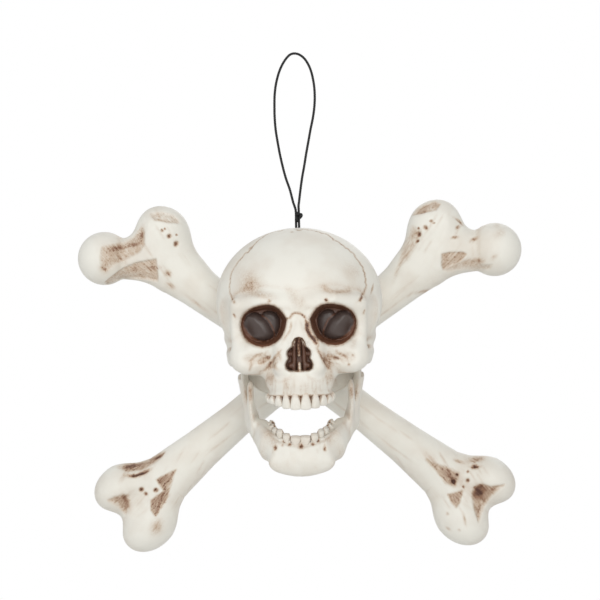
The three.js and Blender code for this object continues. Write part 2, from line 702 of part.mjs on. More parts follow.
// The lower jaw with its teeth and pivot eyes
const jawGridShares = { side: 0.8, fineSide: 0.5, back: 0.3, bottom: -0.8, top: 0.08 };
const jawX = halfWidth * jawGridShares.side;
const jawFineX = halfWidth * jawGridShares.fineSide;
const jawLineX = gridLine([[-jawX, ramusStep], [-jawFineX, jawStep], [jawFineX, ramusStep], [jawX, 0]]);
const jawLineY = gridLine([[faceEdge, jawStep], [faceReach * jawGridShares.back, 0]]);
const jawLow = crownHeight * jawGridShares.bottom;
const jawLineZ = gridLine([[jawLow, jawStep], [crownHeight * jawGridShares.top, 0]]);

function lowerJaw() {
  let jaw = surfaceOf(closedJawField, jawLineX, jawLineY, jawLineZ);
  toothRow(lowerArcShares, lowerToothHeight, true, lowerWidthShare).forEach((one) => {
    jaw = jaw.add(one);
  });
  [1, -1].forEach((hand) => {
    const inner = hinge[0] - eyeThickness / 2;
    const outer = hinge[0] + eyeThickness / 2;
    const clear = eyeRadius + overrun;
    const low = [hinge[1] - clear, hinge[2] - clear];
    const high = [hinge[1] + clear, hinge[2] + clear];
    const span = (from, to) => [Math.min(from * hand, to * hand), Math.max(from * hand, to * hand)];
    const [inA, inB] = span(0, inner);
    const [outA, outB] = span(outer, far);
    jaw = jaw.subtract(block([inA, low[0], low[1]], [inB, high[0], high[1]]));
    jaw = jaw.subtract(block([outA, low[0], low[1]], [outB, high[0], high[1]]));
    jaw = jaw.add(bar([hand * inner, hinge[1], hinge[2]], [hand * outer, hinge[1], hinge[2]], eyeRadius));
    jaw = jaw.subtract(bar([hand * (inner - overrun), hinge[1], hinge[2]],
      [hand * (outer + overrun), hinge[1], hinge[2]], pivotShank / 2 + seam));
  });
  return jaw;
}

// A pan-head screw that points along +Y, its head's underside at the origin
const headRimShare = 0.45;
const headFlatShare = 0.68;
function screw(shank, length, head, headHeight) {
  const outline = [
    [0, length], [shank / 2, length - shank / 2], [shank / 2, 0],
    [head / 2, 0], [head / 2, -headHeight * headRimShare], [head / 2 * headFlatShare, -headHeight],
    [0, -headHeight],
  ].map(([radius, along]) => new THREE.Vector2(radius, along));
  return new THREE.LatheGeometry(outline.reverse(), screwSides);
}

// A bone along X, notched half through where the other one crosses it
const boneGridShares = { end: 1.06, shaftLow: -0.62, shaftHigh: 0.55, span: 1.9 };
const boneEnd = Math.max(alongBone(boneGridShares.end), boneHeadReach + boneHeadRadius + boneEndStep);
const boneLineX = gridLine([[-boneEnd, boneEndStep], [alongBone(boneGridShares.shaftLow), boneShaftStep],
  [alongBone(boneGridShares.shaftHigh), boneEndStep], [boneEnd, 0]]);
const boneSpan = boneWaist * boneGridShares.span;
const boneLineY = gridLine([[-boneWaist, boneEndStep], [boneWaist, 0]]);
const boneLineZ = gridLine([[-boneSpan, boneEndStep], [boneSpan, 0]]);
const wholeBone = surfaceOf(boneField, boneLineX, boneLineY, boneLineZ);

const boneSeat = boneMiddle + boneWaist / 2 - boneRecess;

function mirrored(geometry) {
  geometry.applyMatrix4(new THREE.Matrix4().makeScale(-1, 1, 1));
  const index = geometry.index.array;
  for (let t = 0; t < index.length; t += 3) [index[t], index[t + 1]] = [index[t + 1], index[t]];
  geometry.computeVertexNormals();
  return geometry;
}

// The front bone keeps its front half at the crossing, the rear bone its back
function crossedBone(keepsFront) {
  const turned = (geometry, angle) => geometry.rotateY(-angle * deg).translate(0, boneMiddle, boneCross);
  const cutter = new THREE.BoxGeometry(boneWaist * 3, boneWaist, boneWaist + 2 * seam);
  cutter.translate(0, (keepsFront ? 1 : -1) * (boneWaist / 2 - seam / 2), 0);
  let bone = solidFrom(turned(geometryFrom(wholeBone), boneAngle));
  bone = bone.subtract(solidFrom(turned(cutter, -boneAngle)));
  bonePins.forEach((z) => {
    bone = bone.subtract(bar([0, 0, z], [0, far, z], boneShank / 2 + seam));
    if (!keepsFront) {
      bone = bone.subtract(bar([0, boneSeat, z], [0, boneMiddle + boneWaist, z], boneHead / 2 + seam));
    }
  });
  return keepsFront ? geometryFrom(bone) : mirrored(geometryFrom(bone));
}

// The cord: one loop above the outer knot, and two strands from it through the
// crown to the stop knot inside
function roundSection(radius) {
  const shape = new THREE.Shape();
  for (let n = 0; n < cordSides; n += 1) {
    const turn = 2 * Math.PI * n / cordSides;
    const [x, y] = [radius * Math.cos(turn), radius * Math.sin(turn)];
    if (n === 0) shape.moveTo(x, y);
    else shape.lineTo(x, y);
  }
  shape.closePath();
  return shape;
}

function tube(points, steps) {
  const extrudePath = new THREE.CatmullRomCurve3(points.map((point) => new THREE.Vector3(...point)));
  return new THREE.ExtrudeGeometry(roundSection(cordWidth / 2), { steps, extrudePath, bevelEnabled: false });
}

const knotShares = [
  [0, 0], [0.6, 0], [0.92, 0.12], [1, 0.3], [0.86, 0.5], [1, 0.7], [0.92, 0.88], [0.6, 1], [0, 1],
];
function knot(width, height) {
  const outline = knotShares.map(([radius, rise]) => (
    new THREE.Vector2(radius * width / 2, rise * height)));
  return new THREE.LatheGeometry(outline, roundSides).rotateX(Math.PI / 2);
}

// Colours and finishes
const paint = (color, roughness, metalness) => (
  new THREE.MeshStandardMaterial({ color, roughness, metalness }));
const bonePlastic = () => paint('#e6e4da', 0.5, 0);
const steel = () => paint('#9a9c9e', 0.35, 1);
const cordBlack = () => paint('#222222', 0.9, 0);

const skull = new THREE.Group();
skull.position.set(0, -cordHoleBack, -(crownHeight + loopInside));

function add(name, geometry, material, parent = skull) {
  const mesh = new THREE.Mesh(geometry, material);
  mesh.name = name;
  parent.add(mesh);
  return mesh;
}

add('face_shell', geometryFrom(faceShell()), bonePlastic());
add('rear_shell', geometryFrom(rearShell()), bonePlastic());

const jawTurn = new THREE.Group();
jawTurn.position.set(0, hinge[1], hinge[2]);
jawTurn.rotation.x = jawOpening * deg;
skull.add(jawTurn);
const jawGeometry = geometryFrom(lowerJaw());
jawGeometry.translate(0, -hinge[1], -hinge[2]);
add('jaw', jawGeometry, bonePlastic(), jawTurn);

[['right', 1], ['left', -1]].forEach(([side, hand]) => {
  const seat = hinge[0] + eyeThickness / 2 + seam;
  const length = eyeThickness + pivotReach + seam;
  const geometry = screw(pivotShank, length, pivotHead, pivotHeadHeight);
  geometry.rotateZ(hand * Math.PI / 2);
  geometry.translate(hand * seat, hinge[1], hinge[2]);
  add(`jaw_screw_${side}`, geometry, steel());
});

posts.forEach(([x, , z], index) => {
  const length = shellFloor + shellReach;
  const geometry = screw(shellShank, length, shellHead, shellHeadHeight);
  geometry.rotateZ(Math.PI);
  geometry.translate(x, shellSeat + seam, z);
  add(`shell_screw_${index + 1}`, geometry, steel());
});

add('bone_front', crossedBone(true), bonePlastic());
add('bone_rear', crossedBone(false), bonePlastic());

bonePins.forEach((z, index) => {
  const length = boneSeat - (boneFace - boneReach);
  const geometry = screw(boneShank, length, boneHead, boneHeadHeight);
  geometry.rotateZ(Math.PI);
  geometry.translate(0, boneSeat + seam, z);
  add(`bone_screw_${index + 1}`, geometry, steel());
});

const crown = crownHeight;
const strand = (side, rise) => [side, cordHoleBack, crown + rise];
const loopPoints = loopRoute.map(([side, rise]) => strand(side, rise));
add('cord_loop', tube(loopPoints, loopSteps), cordBlack());
const outerKnot = knot(knotWidth, knotHeight);
outerKnot.translate(...strand(0, knotLift));
add('cord_knot', outerKnot, cordBlack());
const stopTop = -shellWall - stopDrop;
[['right', 1], ['left', -1]].forEach(([side, hand]) => {
  const x = hand * strandSpace / 2;
  const points = [strand(x, stopTop + seam), strand(x, knotLift - seam)];
  add(`cord_strand_${side}`, tube(points, 2), cordBlack());
});
const stopKnot = knot(stopWidth, stopHeight);
stopKnot.translate(...strand(0, stopTop - stopHeight));
add('cord_stop', stopKnot, cordBlack());

export default skull;
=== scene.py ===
"""Hanging skull and crossbones: the looks of each piece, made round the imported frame."""

import math

import bmesh
import bpy
import numpy as np
from bpy.props import FloatProperty, FloatVectorProperty, PointerProperty
from bpy.types import Operator, Panel, PropertyGroup
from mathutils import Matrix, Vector


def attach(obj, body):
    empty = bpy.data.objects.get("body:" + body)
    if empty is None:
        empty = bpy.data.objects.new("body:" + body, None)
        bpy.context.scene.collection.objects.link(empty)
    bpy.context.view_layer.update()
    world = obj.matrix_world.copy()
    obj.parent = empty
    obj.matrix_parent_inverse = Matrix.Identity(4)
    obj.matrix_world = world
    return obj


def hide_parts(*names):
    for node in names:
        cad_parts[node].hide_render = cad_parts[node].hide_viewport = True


bl_info = {
    "name": "Hanging skull and crossbones",
    "version": (1, 0, 0),
    "blender": (4, 5, 0),
    "location": "View3D > Sidebar > Skull",
    "description": "Makes the finished pieces of a hanging skull and crossbones decoration",
    "category": "Object",
}

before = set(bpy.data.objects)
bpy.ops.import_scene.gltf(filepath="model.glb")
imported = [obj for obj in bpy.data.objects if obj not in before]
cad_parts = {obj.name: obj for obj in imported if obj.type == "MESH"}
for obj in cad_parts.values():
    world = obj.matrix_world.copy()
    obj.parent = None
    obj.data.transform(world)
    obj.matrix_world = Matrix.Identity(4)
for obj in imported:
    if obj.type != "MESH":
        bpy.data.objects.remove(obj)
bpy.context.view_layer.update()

# Sizes in millimetres, in the skull's own frame: its origin is on the widest
# line of the head, +X to the viewer's right, -Y towards the viewer, +Z up
MM = 0.001
HALF_WIDTH, FACE_REACH, BACK_REACH, CROWN = 64.5, 70.0, 52.0, 96.5
SHELL_WALL, PARTING, SEAM, SWING_ROOM = 3.0, 14.0, 0.3, 1.1
HINGE = (43.473, 4.004, -5.983)
JAW_OPENING = math.radians(17.3)
EYE_RADIUS, EYE_THICKNESS, PIVOT_HOLE = 8.0, 6.2, 2.3
PIVOT_HEAD, PIVOT_HEAD_HEIGHT = 8.0, 2.4
BOSS_RADIUS, BOSS_LENGTH = 7.0, 14.0
BONE_ANGLE = math.radians(38.3)
BONE_LENGTH, BONE_WAIST, BONE_HEAD_REACH, BONE_CROSS = 203.0, 29.0, 181.0, -13.2
BONE_BACK = BACK_REACH - 6.0 + BONE_WAIST / 2
BONE_HOLE, BONE_COUNTERBORE, SHELL_COUNTERBORE = 2.3, 4.8, 3.3
CORD_BACK, LOOP_INSIDE, CORD_HOLE, CORD_THICKNESS = 8.0, 135.8, 2.7, 2.0
# A depth past every surface of the head, for cuts that run out of it
BEYOND = 80.0
# From the skull's frame to the part's, whose origin is where a hook holds the loop
SHIFT = np.array((0.0, -CORD_BACK, -(CROWN + LOOP_INSIDE)))
COARSE = 1.0


def linear(code):
    """A hex sRGB colour as linear red, green and blue."""
    channels = [int(code[i : i + 2], 16) / 255 for i in (1, 3, 5)]
    return [c / 12.92 if c <= 0.04045 else ((c + 0.055) / 1.055) ** 2.4 for c in channels]


# Forms: each is a function of points that gives about their distance to a surface, in
# millimetres and negative inside
def blob(row):
    """An ellipsoid, from its middle and its three half sizes."""
    (cx, cy, cz), (rx, ry, rz) = row[:3], row[3:6]

    def field(x, y, z):
        px, py, pz = (x - cx) / rx, (y - cy) / ry, (z - cz) / rz
        reach = np.sqrt(px * px + py * py + pz * pz)
        slope = np.sqrt((px / rx) ** 2 + (py / ry) ** 2 + (pz / rz) ** 2)
        return reach * (reach - 1) / np.maximum(slope, 1e-6)

    return field


def limb(rows):
    """A bent limb of changing thickness, through ellipsoids along it."""
    rows = np.array([row[:6] for row in rows], float)

    def field(x, y, z):
        nearest = None
        for a, b in zip(rows, rows[1:]):
            d = b - a
            reach = (x - a[0]) * d[0] + (y - a[1]) * d[1] + (z - a[2]) * d[2]
            t = np.clip(reach / (d[:3] @ d[:3]), 0, 1)
            rx, ry, rz = a[3] + d[3] * t, a[4] + d[4] * t, a[5] + d[5] * t
            px = (x - a[0] - d[0] * t) / rx
            py = (y - a[1] - d[1] * t) / ry
            pz = (z - a[2] - d[2] * t) / rz
            reach = np.sqrt(px * px + py * py + pz * pz)
            slope = np.sqrt((px / rx) ** 2 + (py / ry) ** 2 + (pz / rz) ** 2)
            here = reach * (reach - 1) / np.maximum(slope, 1e-6)
            nearest = here if nearest is None else np.minimum(nearest, here)
        return nearest

    return field


def join(a, b, blend):
    """Two forms as one, with a fillet about as wide as the blend."""
    near = np.maximum(blend - np.abs(a - b), 0) / blend
    return np.minimum(a, b) - near * near * blend / 4


def carve(a, b, blend):
    """The second form cut out of the first, with a rounded edge."""
    return -join(-a, b, blend)


def outline_distance(points, u, v, closed=True):
    """Distance to a flat line, or to a closed outline: then it is negative inside."""
    starts = np.array(points, float)
    nearest = np.full(np.shape(u), 1e9)
    inside = np.zeros(np.shape(u), bool)
    ends = np.roll(starts, -1, 0) if closed else starts[1:]
    for (ax, ay), (bx, by) in zip(starts, ends):
        dx, dy = bx - ax, by - ay
        t = np.clip(((u - ax) * dx + (v - ay) * dy) / (dx * dx + dy * dy), 0, 1)
        nearest = np.minimum(nearest, (u - ax - dx * t) ** 2 + (v - ay - dy * t) ** 2)
        if closed:
            crossing = (bx - ax) * (v - ay) / ((by - ay) or 1e-9) + ax
            inside ^= ((ay > v) != (by > v)) & (u < crossing)
    return np.where(inside, -1.0, 1.0) * np.sqrt(nearest)


def share_rows(rows):
    """Rows of shares of the skull's sizes, as millimetres."""
    out = []
    for row in rows:
        depth = FACE_REACH if row[1] < 0 else BACK_REACH
        size = (row[0] * HALF_WIDTH, row[1] * depth, row[2] * CROWN)
        half = (row[3] * HALF_WIDTH, row[4] * FACE_REACH, row[5] * CROWN)
        out.append((*size, *half, *[share * HALF_WIDTH for share in row[6:]]))
    return out


# Shares of the skull's sizes: middle across, fore and aft, and up; three half sizes; blend
HEAD_SHARES = [
    (0, -0.343, 0.415, 0.729, 0.557, 0.383, 0.155),
    (0, -0.543, 0, 0.667, 0.343, 0.228, 0.14),
    (0.589, -0.657, -0.031, 0.202, 0.157, 0.124, 0.109),
    (0.775, 0.154, 0.114, 0.14, 0.2, 0.067, 0.093),
    (0, -0.629, -0.207, 0.395, 0.357, 0.197, 0.093),
    (0, -0.286, -0.166, 0.372, 0.429, 0.187, 0.124),
    (0, -0.74, 0.04, 0.29, 0.22, 0.2, 0.155),
    (0, 0.423, -0.041, 0.682, 0.4, 0.34, 0.155),
    (0, 0.4, -0.22, 0.62, 0.3, 0.165, 0.093),
    (0.62, 0.404, -0.124, 0.124, 0.114, 0.155, 0.078),
]
HOLLOW_SHARES = [
    (0.93, -0.486, 0.207, 0.171, 0.286, 0.249, 0.093),
    (0.682, -0.286, -0.145, 0.14, 0.314, 0.269, 0.078),
    (0.341, -0.986, -0.052, 0.109, 0.114, 0.093, 0.078),
    (0.558, -0.857, -0.031, 0.14, 0.071, 0.047, 0.062),
]
LIMB_SHARES = [
    [(0.093, -0.871, 0.383, 0.093, 0.086, 0.062), (0.403, -0.843, 0.425, 0.093, 0.086, 0.052),
     (0.667, -0.7, 0.383, 0.093, 0.086, 0.062)],
    [(0.713, -0.657, 0.373, 0.078, 0.071, 0.052), (0.729, -0.614, 0.207, 0.07, 0.079, 0.052),
     (0.682, -0.643, 0.021, 0.093, 0.086, 0.062)],
    [(0.713, -0.6, -0.031, 0.078, 0.086, 0.067), (0.8, -0.343, -0.036, 0.059, 0.071, 0.062),
     (0.829, -0.057, 0, 0.059, 0.071, 0.052), (0.775, 0.231, 0.062, 0.078, 0.086, 0.052)],
    [(0, -0.829, 0.352, 0.093, 0.071, 0.052), (0, -0.9, 0.228, 0.078, 0.071, 0.052),
     (0, -0.96, 0.125, 0.11, 0.06, 0.045)],
    [(0.14, -0.857, 0.269, 0.062, 0.071, 0.052), (0.186, -0.9, 0.062, 0.07, 0.071, 0.052),
     (0.217, -0.914, -0.083, 0.078, 0.071, 0.062)],
]
RAMUS_SHARES = [
    (0.674, 0.077, -0.062, 0.05, 0.114, 0.083), (0.705, 0.02, -0.2, 0.06, 0.12, 0.083),
    (0.622, -0.071, -0.518, 0.059, 0.143, 0.104)]
CORONOID_SHARES = [
    (0.594, -0.386, -0.18, 0.038, 0.071, 0.052), (0.6, -0.329, -0.332, 0.044, 0.1, 0.073),
    (0.574, -0.286, -0.477, 0.052, 0.171, 0.104)]
JAW_BODY_SHARES = [
    (0.62, -0.086, -0.539, 0.062, 0.114, 0.093), (0.527, -0.4, -0.56, 0.07, 0.086, 0.098),
    (0.403, -0.686, -0.58, 0.078, 0.086, 0.119), (0.26, -0.86, -0.601, 0.078, 0.079, 0.125),
    (0, -0.929, -0.612, 0.078, 0.079, 0.13)]
JAW_RIDGE_SHARES = [
    (0.45, -0.371, -0.5, 0.062, 0.071, 0.041), (0.341, -0.571, -0.53, 0.062, 0.057, 0.062),
    (0.217, -0.8, -0.553, 0.062, 0.057, 0.052), (0, -0.9, -0.553, 0.062, 0.057, 0.052)]
CHIN_SHARES = [(0, -0.95, -0.66, 0.36, 0.08, 0.086)]

ramus, coronoid, jaw_body, jaw_ridge = (
    limb(share_rows(rows)) for rows in (RAMUS_SHARES, CORONOID_SHARES, JAW_BODY_SHARES, JAW_RIDGE_SHARES))
chin = blob(share_rows(CHIN_SHARES)[0])


def closed_jaw(x, y, z):
    """The lower jaw with its mouth shut, without teeth and pivot eyes."""
    blend = 0.07 * HALF_WIDTH
    side = np.abs(x)
    value = join(ramus(side, y, z), coronoid(side, y, z), blend * 1.4)
    for part in (jaw_body, jaw_ridge):
        value = join(value, part(side, y, z), blend)
    return join(value, chin(x, y, z), blend * 2.4)


def shut(y, z, angle=JAW_OPENING):
    """Where a point of a jaw that is open by an angle lies when the jaw is shut, in depth and
    height. A negative angle is the way back."""
    cos, sin = math.cos(angle), math.sin(angle)
    dy, dz = y - HINGE[1], z - HINGE[2]
    return HINGE[1] + dy * cos + dz * sin, HINGE[2] - dy * sin + dz * cos


def turned_jaw(angle):
    """The jaw turned open by an angle about its hinge."""

    def field(x, y, z):
        return closed_jaw(x, *shut(y, z, angle))

    return field


open_jaw = turned_jaw(JAW_OPENING)
swing = [turned_jaw(JAW_OPENING * share) for share in (0, 0.25, 0.5, 0.75, 1)]

# Outlines across and up, on the right-hand side: the rim of an eye socket, half of the
# nose opening, and the two domes on a socket's floor with the raised edge of the larger
SOCKET = [
    (43.4, 23.4), (42.4, 27.8), (40.4, 30.8), (36.8, 33.8), (32.4, 35.9), (26.8, 37.1), (22, 37.5),
    (17.5, 36.6), (13.6, 34), (10.8, 30.4), (8.3, 26.2), (9.1, 22.6), (10.1, 18.8), (11.6, 15.2),
    (13.6, 12), (16.8, 9.4), (21.6, 6.9), (27, 6), (32.5, 7), (37.6, 10), (40.8, 14), (42.6, 18.8)]
NOSTRILS = [
    (-4, 12.9), (0, 12.9), (2.5, 12.2), (4.4, 9.6), (5.2, 6.4), (7.1, 4.8), (8.8, 3), (9.1, 0.2),
    (8.2, -2.6), (9.5, -4.6), (10.4, -7.4), (9.8, -10.6), (7.6, -12.3), (0, -12.5), (-4, -12.5)]
LID = [
    (27.3, 29.2), (31, 31.8), (35.4, 32), (39.2, 30), (41.6, 24), (40.6, 20), (38.6, 16.4),
    (35, 13), (31, 10.9), (26.4, 10), (21.4, 11.2), (18.3, 13.8), (18.7, 17.6), (20.6, 22.4),
    (23.4, 26.8)]
LID_EDGE = [
    (27.3, 29.2), (25.3, 28.2), (23.4, 26.8), (21.8, 24.8), (20.5, 22.4), (19.4, 20), (18.7, 17.6),
    (18.2, 15.4), (18.6, 13.2), (21, 11.4), (23.6, 10.4), (26.4, 10), (29, 10.3), (31.6, 11.1),
    (34.6, 12.8), (37, 14.8), (38.8, 16.8), (40.4, 20)]
INNER_LID = [
    (27.3, 29.2), (26, 32), (23.4, 33), (20.2, 32.8), (16.4, 30.8), (14, 26.6), (14.2, 21),
    (15.8, 17), (17.6, 14.4), (22, 20)]
SOCKET_TAPER, SOCKET_FLOOR, NOSE_FLOOR = 0.2, -45.5, -58.5
# The brain case is hollow behind this depth
HOLLOW_FRONT = -31.0

head_blobs = [(blob(row), row[6]) for row in share_rows(HEAD_SHARES)]
hollow_blobs = [(blob(row), row[6]) for row in share_rows(HOLLOW_SHARES)]
head_limbs = [limb(share_rows(rows)) for rows in LIMB_SHARES]
brain_front = blob((0, 0, 0.415 * CROWN, HALF_WIDTH, 0.857 * FACE_REACH, 0.585 * CROWN))
brain_back = blob((0, 0, 0.415 * CROWN, HALF_WIDTH, BACK_REACH, 0.585 * CROWN))
nose_ribs = [limb([(2.9, -60, 10.5, 1.5, 3, 2), (3.6, -59, 3, 1.8, 3, 3), (3.9, -59, -9.5, 1.9, 3, 3)]),
             blob((7.2, -58.5, 0.6, 2, 3, 2.2)),
             blob((6.4, -58.5, -8.2, 2.5, 4, 2.5))]
septum = limb([(0, -62.5, 13, 1.3, 4, 2), (0, -61, 0, 1.2, 3, 2)])
septum_foot = limb([(0, -61.5, -6.6, 1.3, 4, 1.5), (0, -62, -13, 1.6, 4.5, 2)])


def socket_rim(side):
    """How far forward a socket's rim stands: it curves back towards the side of the head."""
    return -64 + 12 * np.clip((side - 18) / 24, 0, 1.3) ** 2


def socket_wall(side, y, z):
    """Distance to the sloping wall of an eye socket, which starts at its rim."""
    deep = np.maximum(y - socket_rim(side), -1.5)
    return outline_distance(SOCKET, side, z) + SOCKET_TAPER * deep


def dome_rise(gap, reach, height):
    """How far a dome stands out of a floor, from the distance to its outline."""
    inward = np.clip(-gap / reach, 0, 1)
    return height * np.sqrt(1 - (1 - inward) ** 2)


def socket_field(side, y, z):
    """The room inside an eye socket, above the domes of its floor."""
    wall = socket_wall(side, y, z)
    dome = dome_rise(outline_distance(LID, side, z), 9.5, 6.0)
    inner = dome_rise(outline_distance(INNER_LID, side, z), 5.5, 3.2)
    return np.maximum(wall, y - (SOCKET_FLOOR - np.maximum(dome, inner)))


def head_form(x, y, z, openings=True):
    """The head without the room for the jaw."""
    side = np.abs(x)
    value = np.where(y < 0, brain_front(x, y, z), brain_back(x, y, z))
    for field, blend in head_blobs:
        value = join(value, field(side, y, z), blend)
    for field, blend in hollow_blobs:
        value = carve(value, field(side, y, z), blend)
    for field in head_limbs:
        value = join(value, field(side, y, z), 0.093 * HALF_WIDTH)
    if not openings:
        return value
    # Eye sockets and nose, worked out only in the box that holds them
    front = np.nonzero((y < -38) & (z > -18) & (z < 44) & (side < 50))[0]
    if len(front):
        fx, fs, fy, fz = x[front], side[front], y[front], z[front]
        here = carve(value[front], socket_field(fs, fy, fz), 1.3)
        nose = np.maximum(outline_distance(NOSTRILS, fs, fz) + 0.15 * (fy + 66), fy - NOSE_FLOOR)
        here = carve(here, nose, 0.9)
        for rib in nose_ribs:
            here = join(here, rib(fs, fy, fz), 0.6)
        here = join(here, septum(fx, fy, fz), 0.6)
        here = join(here, septum_foot(fx, fy, fz), 0.6)
        value[front] = here
    return value


def head_field(x, y, z):
    """The head with the room that the jaw needs all through its swing."""
    value = head_form(x, y, z)
    # The jaw never comes higher than this, nor further from the head's surface
    low = np.nonzero((z < 14) & (np.abs(value) < 30))[0]
    if len(low):
        lx, ly, lz = x[low], y[low], z[low]
        kept = value[low]
        for field in swing:
            kept = np.maximum(kept, SWING_ROOM - field(lx, ly, lz))
        value[low] = kept
    return value


def bar_field(x, y, z, start, end, axis, radius):
    """A round bar along one axis, by the two other coordinates of its middle."""
    along = (x, y, z)[axis[0]]
    across = np.hypot((x, y, z)[axis[1]] - axis[2], (x, y, z)[axis[3]] - axis[4]) - radius
    return np.maximum(across, np.maximum(start - along, along - end))


def shaft_distance(x, y, z):
    """Distance to the middle line of the nearer of the two crossed bones."""
    rise = np.abs(x) * math.sin(BONE_ANGLE)
    offset = np.abs(z - BONE_CROSS) * math.cos(BONE_ANGLE)
    return np.hypot(y - BONE_BACK, offset - rise)


def hollowed(value, x, y, z):
    """The head's own distance with the brain case hollowed to the shell's wall."""
    bone = BONE_WAIST / 2 + SEAM + SHELL_WALL - shaft_distance(x, y, z)
    return np.maximum(value, -np.maximum(value + SHELL_WALL, np.maximum(bone, HOLLOW_FRONT - y)))


def hinge_room(x, y, z, value):
    """Seats the jaw's eyes and screws in the side of the head, and adds the bosses."""
    side = np.abs(x)
    near = np.nonzero((np.hypot(y - HINGE[1], z - HINGE[2]) < 2 * BOSS_RADIUS) & (side > 20))[0]
    if not len(near):
        return value
    s, ny, nz = side[near], y[near], z[near]
    inside = HINGE[0] - EYE_THICKNESS / 2 - SEAM
    outside = HINGE[0] + EYE_THICKNESS / 2
    top = outside + SEAM + PIVOT_HEAD_HEIGHT
    at = (0, 1, HINGE[1], 2, HINGE[2])
    kept = value[near]
    kept = np.maximum(kept, -bar_field(s, ny, nz, inside, top, at, EYE_RADIUS + SWING_ROOM))
    kept = np.maximum(kept, -bar_field(s, ny, nz, outside, BEYOND, at, PIVOT_HEAD / 2 + SEAM))
    kept = np.minimum(kept, bar_field(s, ny, nz, inside - BOSS_LENGTH, inside, at, BOSS_RADIUS))
    value[near] = kept
    return value


def face_field(x, y, z):
    """The face shell, with the hole for the cord in the crown."""
    value = hinge_room(x, y, z, hollowed(head_field(x, y, z), x, y, z))
    value = np.maximum(value, y - (PARTING - SEAM / 2))
    hole = bar_field(x, y, z, CROWN - 20, CROWN + 10, (2, 0, 0, 1, CORD_BACK), CORD_HOLE)
    return np.maximum(value, -hole)


# Seats of the screws: places across and up, and depths of the heads' seats
POSTS = [(40, 65.6), (-40, 65.6), (21.3, -12.5), (-21.3, -12.5)]
SHELL_SEAT = PARTING + SEAM / 2 + 4
BONE_PINS = [BONE_CROSS + 7, BONE_CROSS - 7]
BONE_SEAT = BONE_BACK + BONE_WAIST / 2 - 4


def back_field(x, y, z):
    """The rear shell, with the sunk seats of its screws and the saddles of the bones."""
    value = np.maximum(hollowed(head_form(x, y, z, False), x, y, z), PARTING + SEAM / 2 - y)
    for px, pz in POSTS:
        sunk = bar_field(x, y, z, SHELL_SEAT, BEYOND, (1, 0, px, 2, pz), SHELL_COUNTERBORE)
        value = np.maximum(value, -sunk)
    return np.maximum(value, BONE_WAIST / 2 + SEAM - shaft_distance(x, y, z))


# Bones
def bone_rows(rows):
    """Rows of shares of a bone's length and waist, as millimetres along, deep and across."""
    scale = (BONE_LENGTH, BONE_WAIST, BONE_WAIST)
    return [tuple(value * scale[i % 3] for i, value in enumerate(row)) for row in rows]


bone_shaft = limb(bone_rows([
    (-0.84, 0, -0.05, 0.1, 0.6, 1.12), (-0.7, 0, -0.02, 0.1, 0.54, 0.72), (-0.52, 0, 0, 0.1, 0.5, 0.58),
    (-0.34, 0, 0, 0.1, 0.5, 0.5), (0.34, 0, 0, 0.1, 0.5, 0.5), (0.52, 0, 0.01, 0.1, 0.5, 0.6),
    (0.64, 0, 0.06, 0.1, 0.54, 0.76), (0.76, 0, 0.26, 0.1, 0.58, 0.94)]))
bone_knobs = [blob(row) for row in bone_rows([
    (-0.882, 0, -0.745, 0.116, 0.7, 0.645), (-0.88, 0, 0.64, 0.103, 0.68, 0.59),
    (0.77, 0, 0.71, 0.105, 0.6, 0.63)])]
bone_neck = limb(bone_rows([(0.74, 0, -0.2, 0.1, 0.5, 0.56), (0.87, 0, -0.8, 0.1, 0.5, 0.52)]))
bone_ball = blob((BONE_HEAD_REACH, 0, -0.93 * BONE_WAIST, *[0.745 * BONE_WAIST] * 3))
bone_notch = blob(bone_rows([(-0.83, -0.72, 0, 0.1, 0.2, 0.34)])[0])


def bone_field(along, deep, across):
    """A whole bone in its own frame: two knobs at its lower end, a knob and a ball above."""
    blend = 0.3 * BONE_WAIST
    value = bone_shaft(along, deep, across)
    for knob in bone_knobs:
        value = join(value, knob(along, deep, across), blend)
    value = join(value, bone_neck(along, deep, across), blend)
    value = join(value, bone_ball(along, deep, across), blend / 4)
    return carve(value, bone_notch(along, deep, across), blend / 2)


def crossed_bone(front):
    """A bone's form with its half lap and its screw holes, in its own frame."""
    cos, sin = math.cos(2 * BONE_ANGLE), math.sin(2 * BONE_ANGLE)

    def field(along, deep, across):
        value = bone_field(along, deep, across)
        middle = np.nonzero(np.abs(along) < 60)[0]
        if len(middle):
            a, d, c = along[middle], deep[middle], across[middle]
            other = np.abs(a * sin + c * cos) - (BONE_WAIST / 2 + SEAM)
            half = -SEAM / 2 - d if front else d - SEAM / 2
            kept = np.maximum(value[middle], -np.maximum(other, half))
            x = a * math.cos(BONE_ANGLE) - c * math.sin(BONE_ANGLE)
            z = a * math.sin(BONE_ANGLE) + c * math.cos(BONE_ANGLE)
            for pin in BONE_PINS:
                far = np.hypot(x, z - (pin - BONE_CROSS))
                kept = np.maximum(kept, BONE_HOLE - far)
                if not front:
                    sunk = np.maximum(far - BONE_COUNTERBORE, BONE_SEAT - BONE_BACK - d)
                    kept = np.maximum(kept, -sunk)
            value[middle] = kept
        return value

    return field


# Skins
# Corners and edges of a grid cell, and how many points are worked out at a time
CORNERS = [(a, b, c) for a in (0, 1) for b in (0, 1) for c in (0, 1)]
EDGES = [(m, n) for m in range(8) for n in range(m + 1, 8)
         if sum(abs(p - q) for p, q in zip(CORNERS[m], CORNERS[n])) == 1]
AT_ONCE = 150000


def grid_line(*stops):
    """Grid positions through the stops, in steps as given between them."""
    line = [stops[0]]
    for start, step, end in zip(stops[0::2], stops[1::2], stops[2::2]):
        count = max(1, round((end - start) / (step * COARSE)))
        line += list(start + (end - start) * (np.arange(count) + 1) / count)
    return np.array(line)


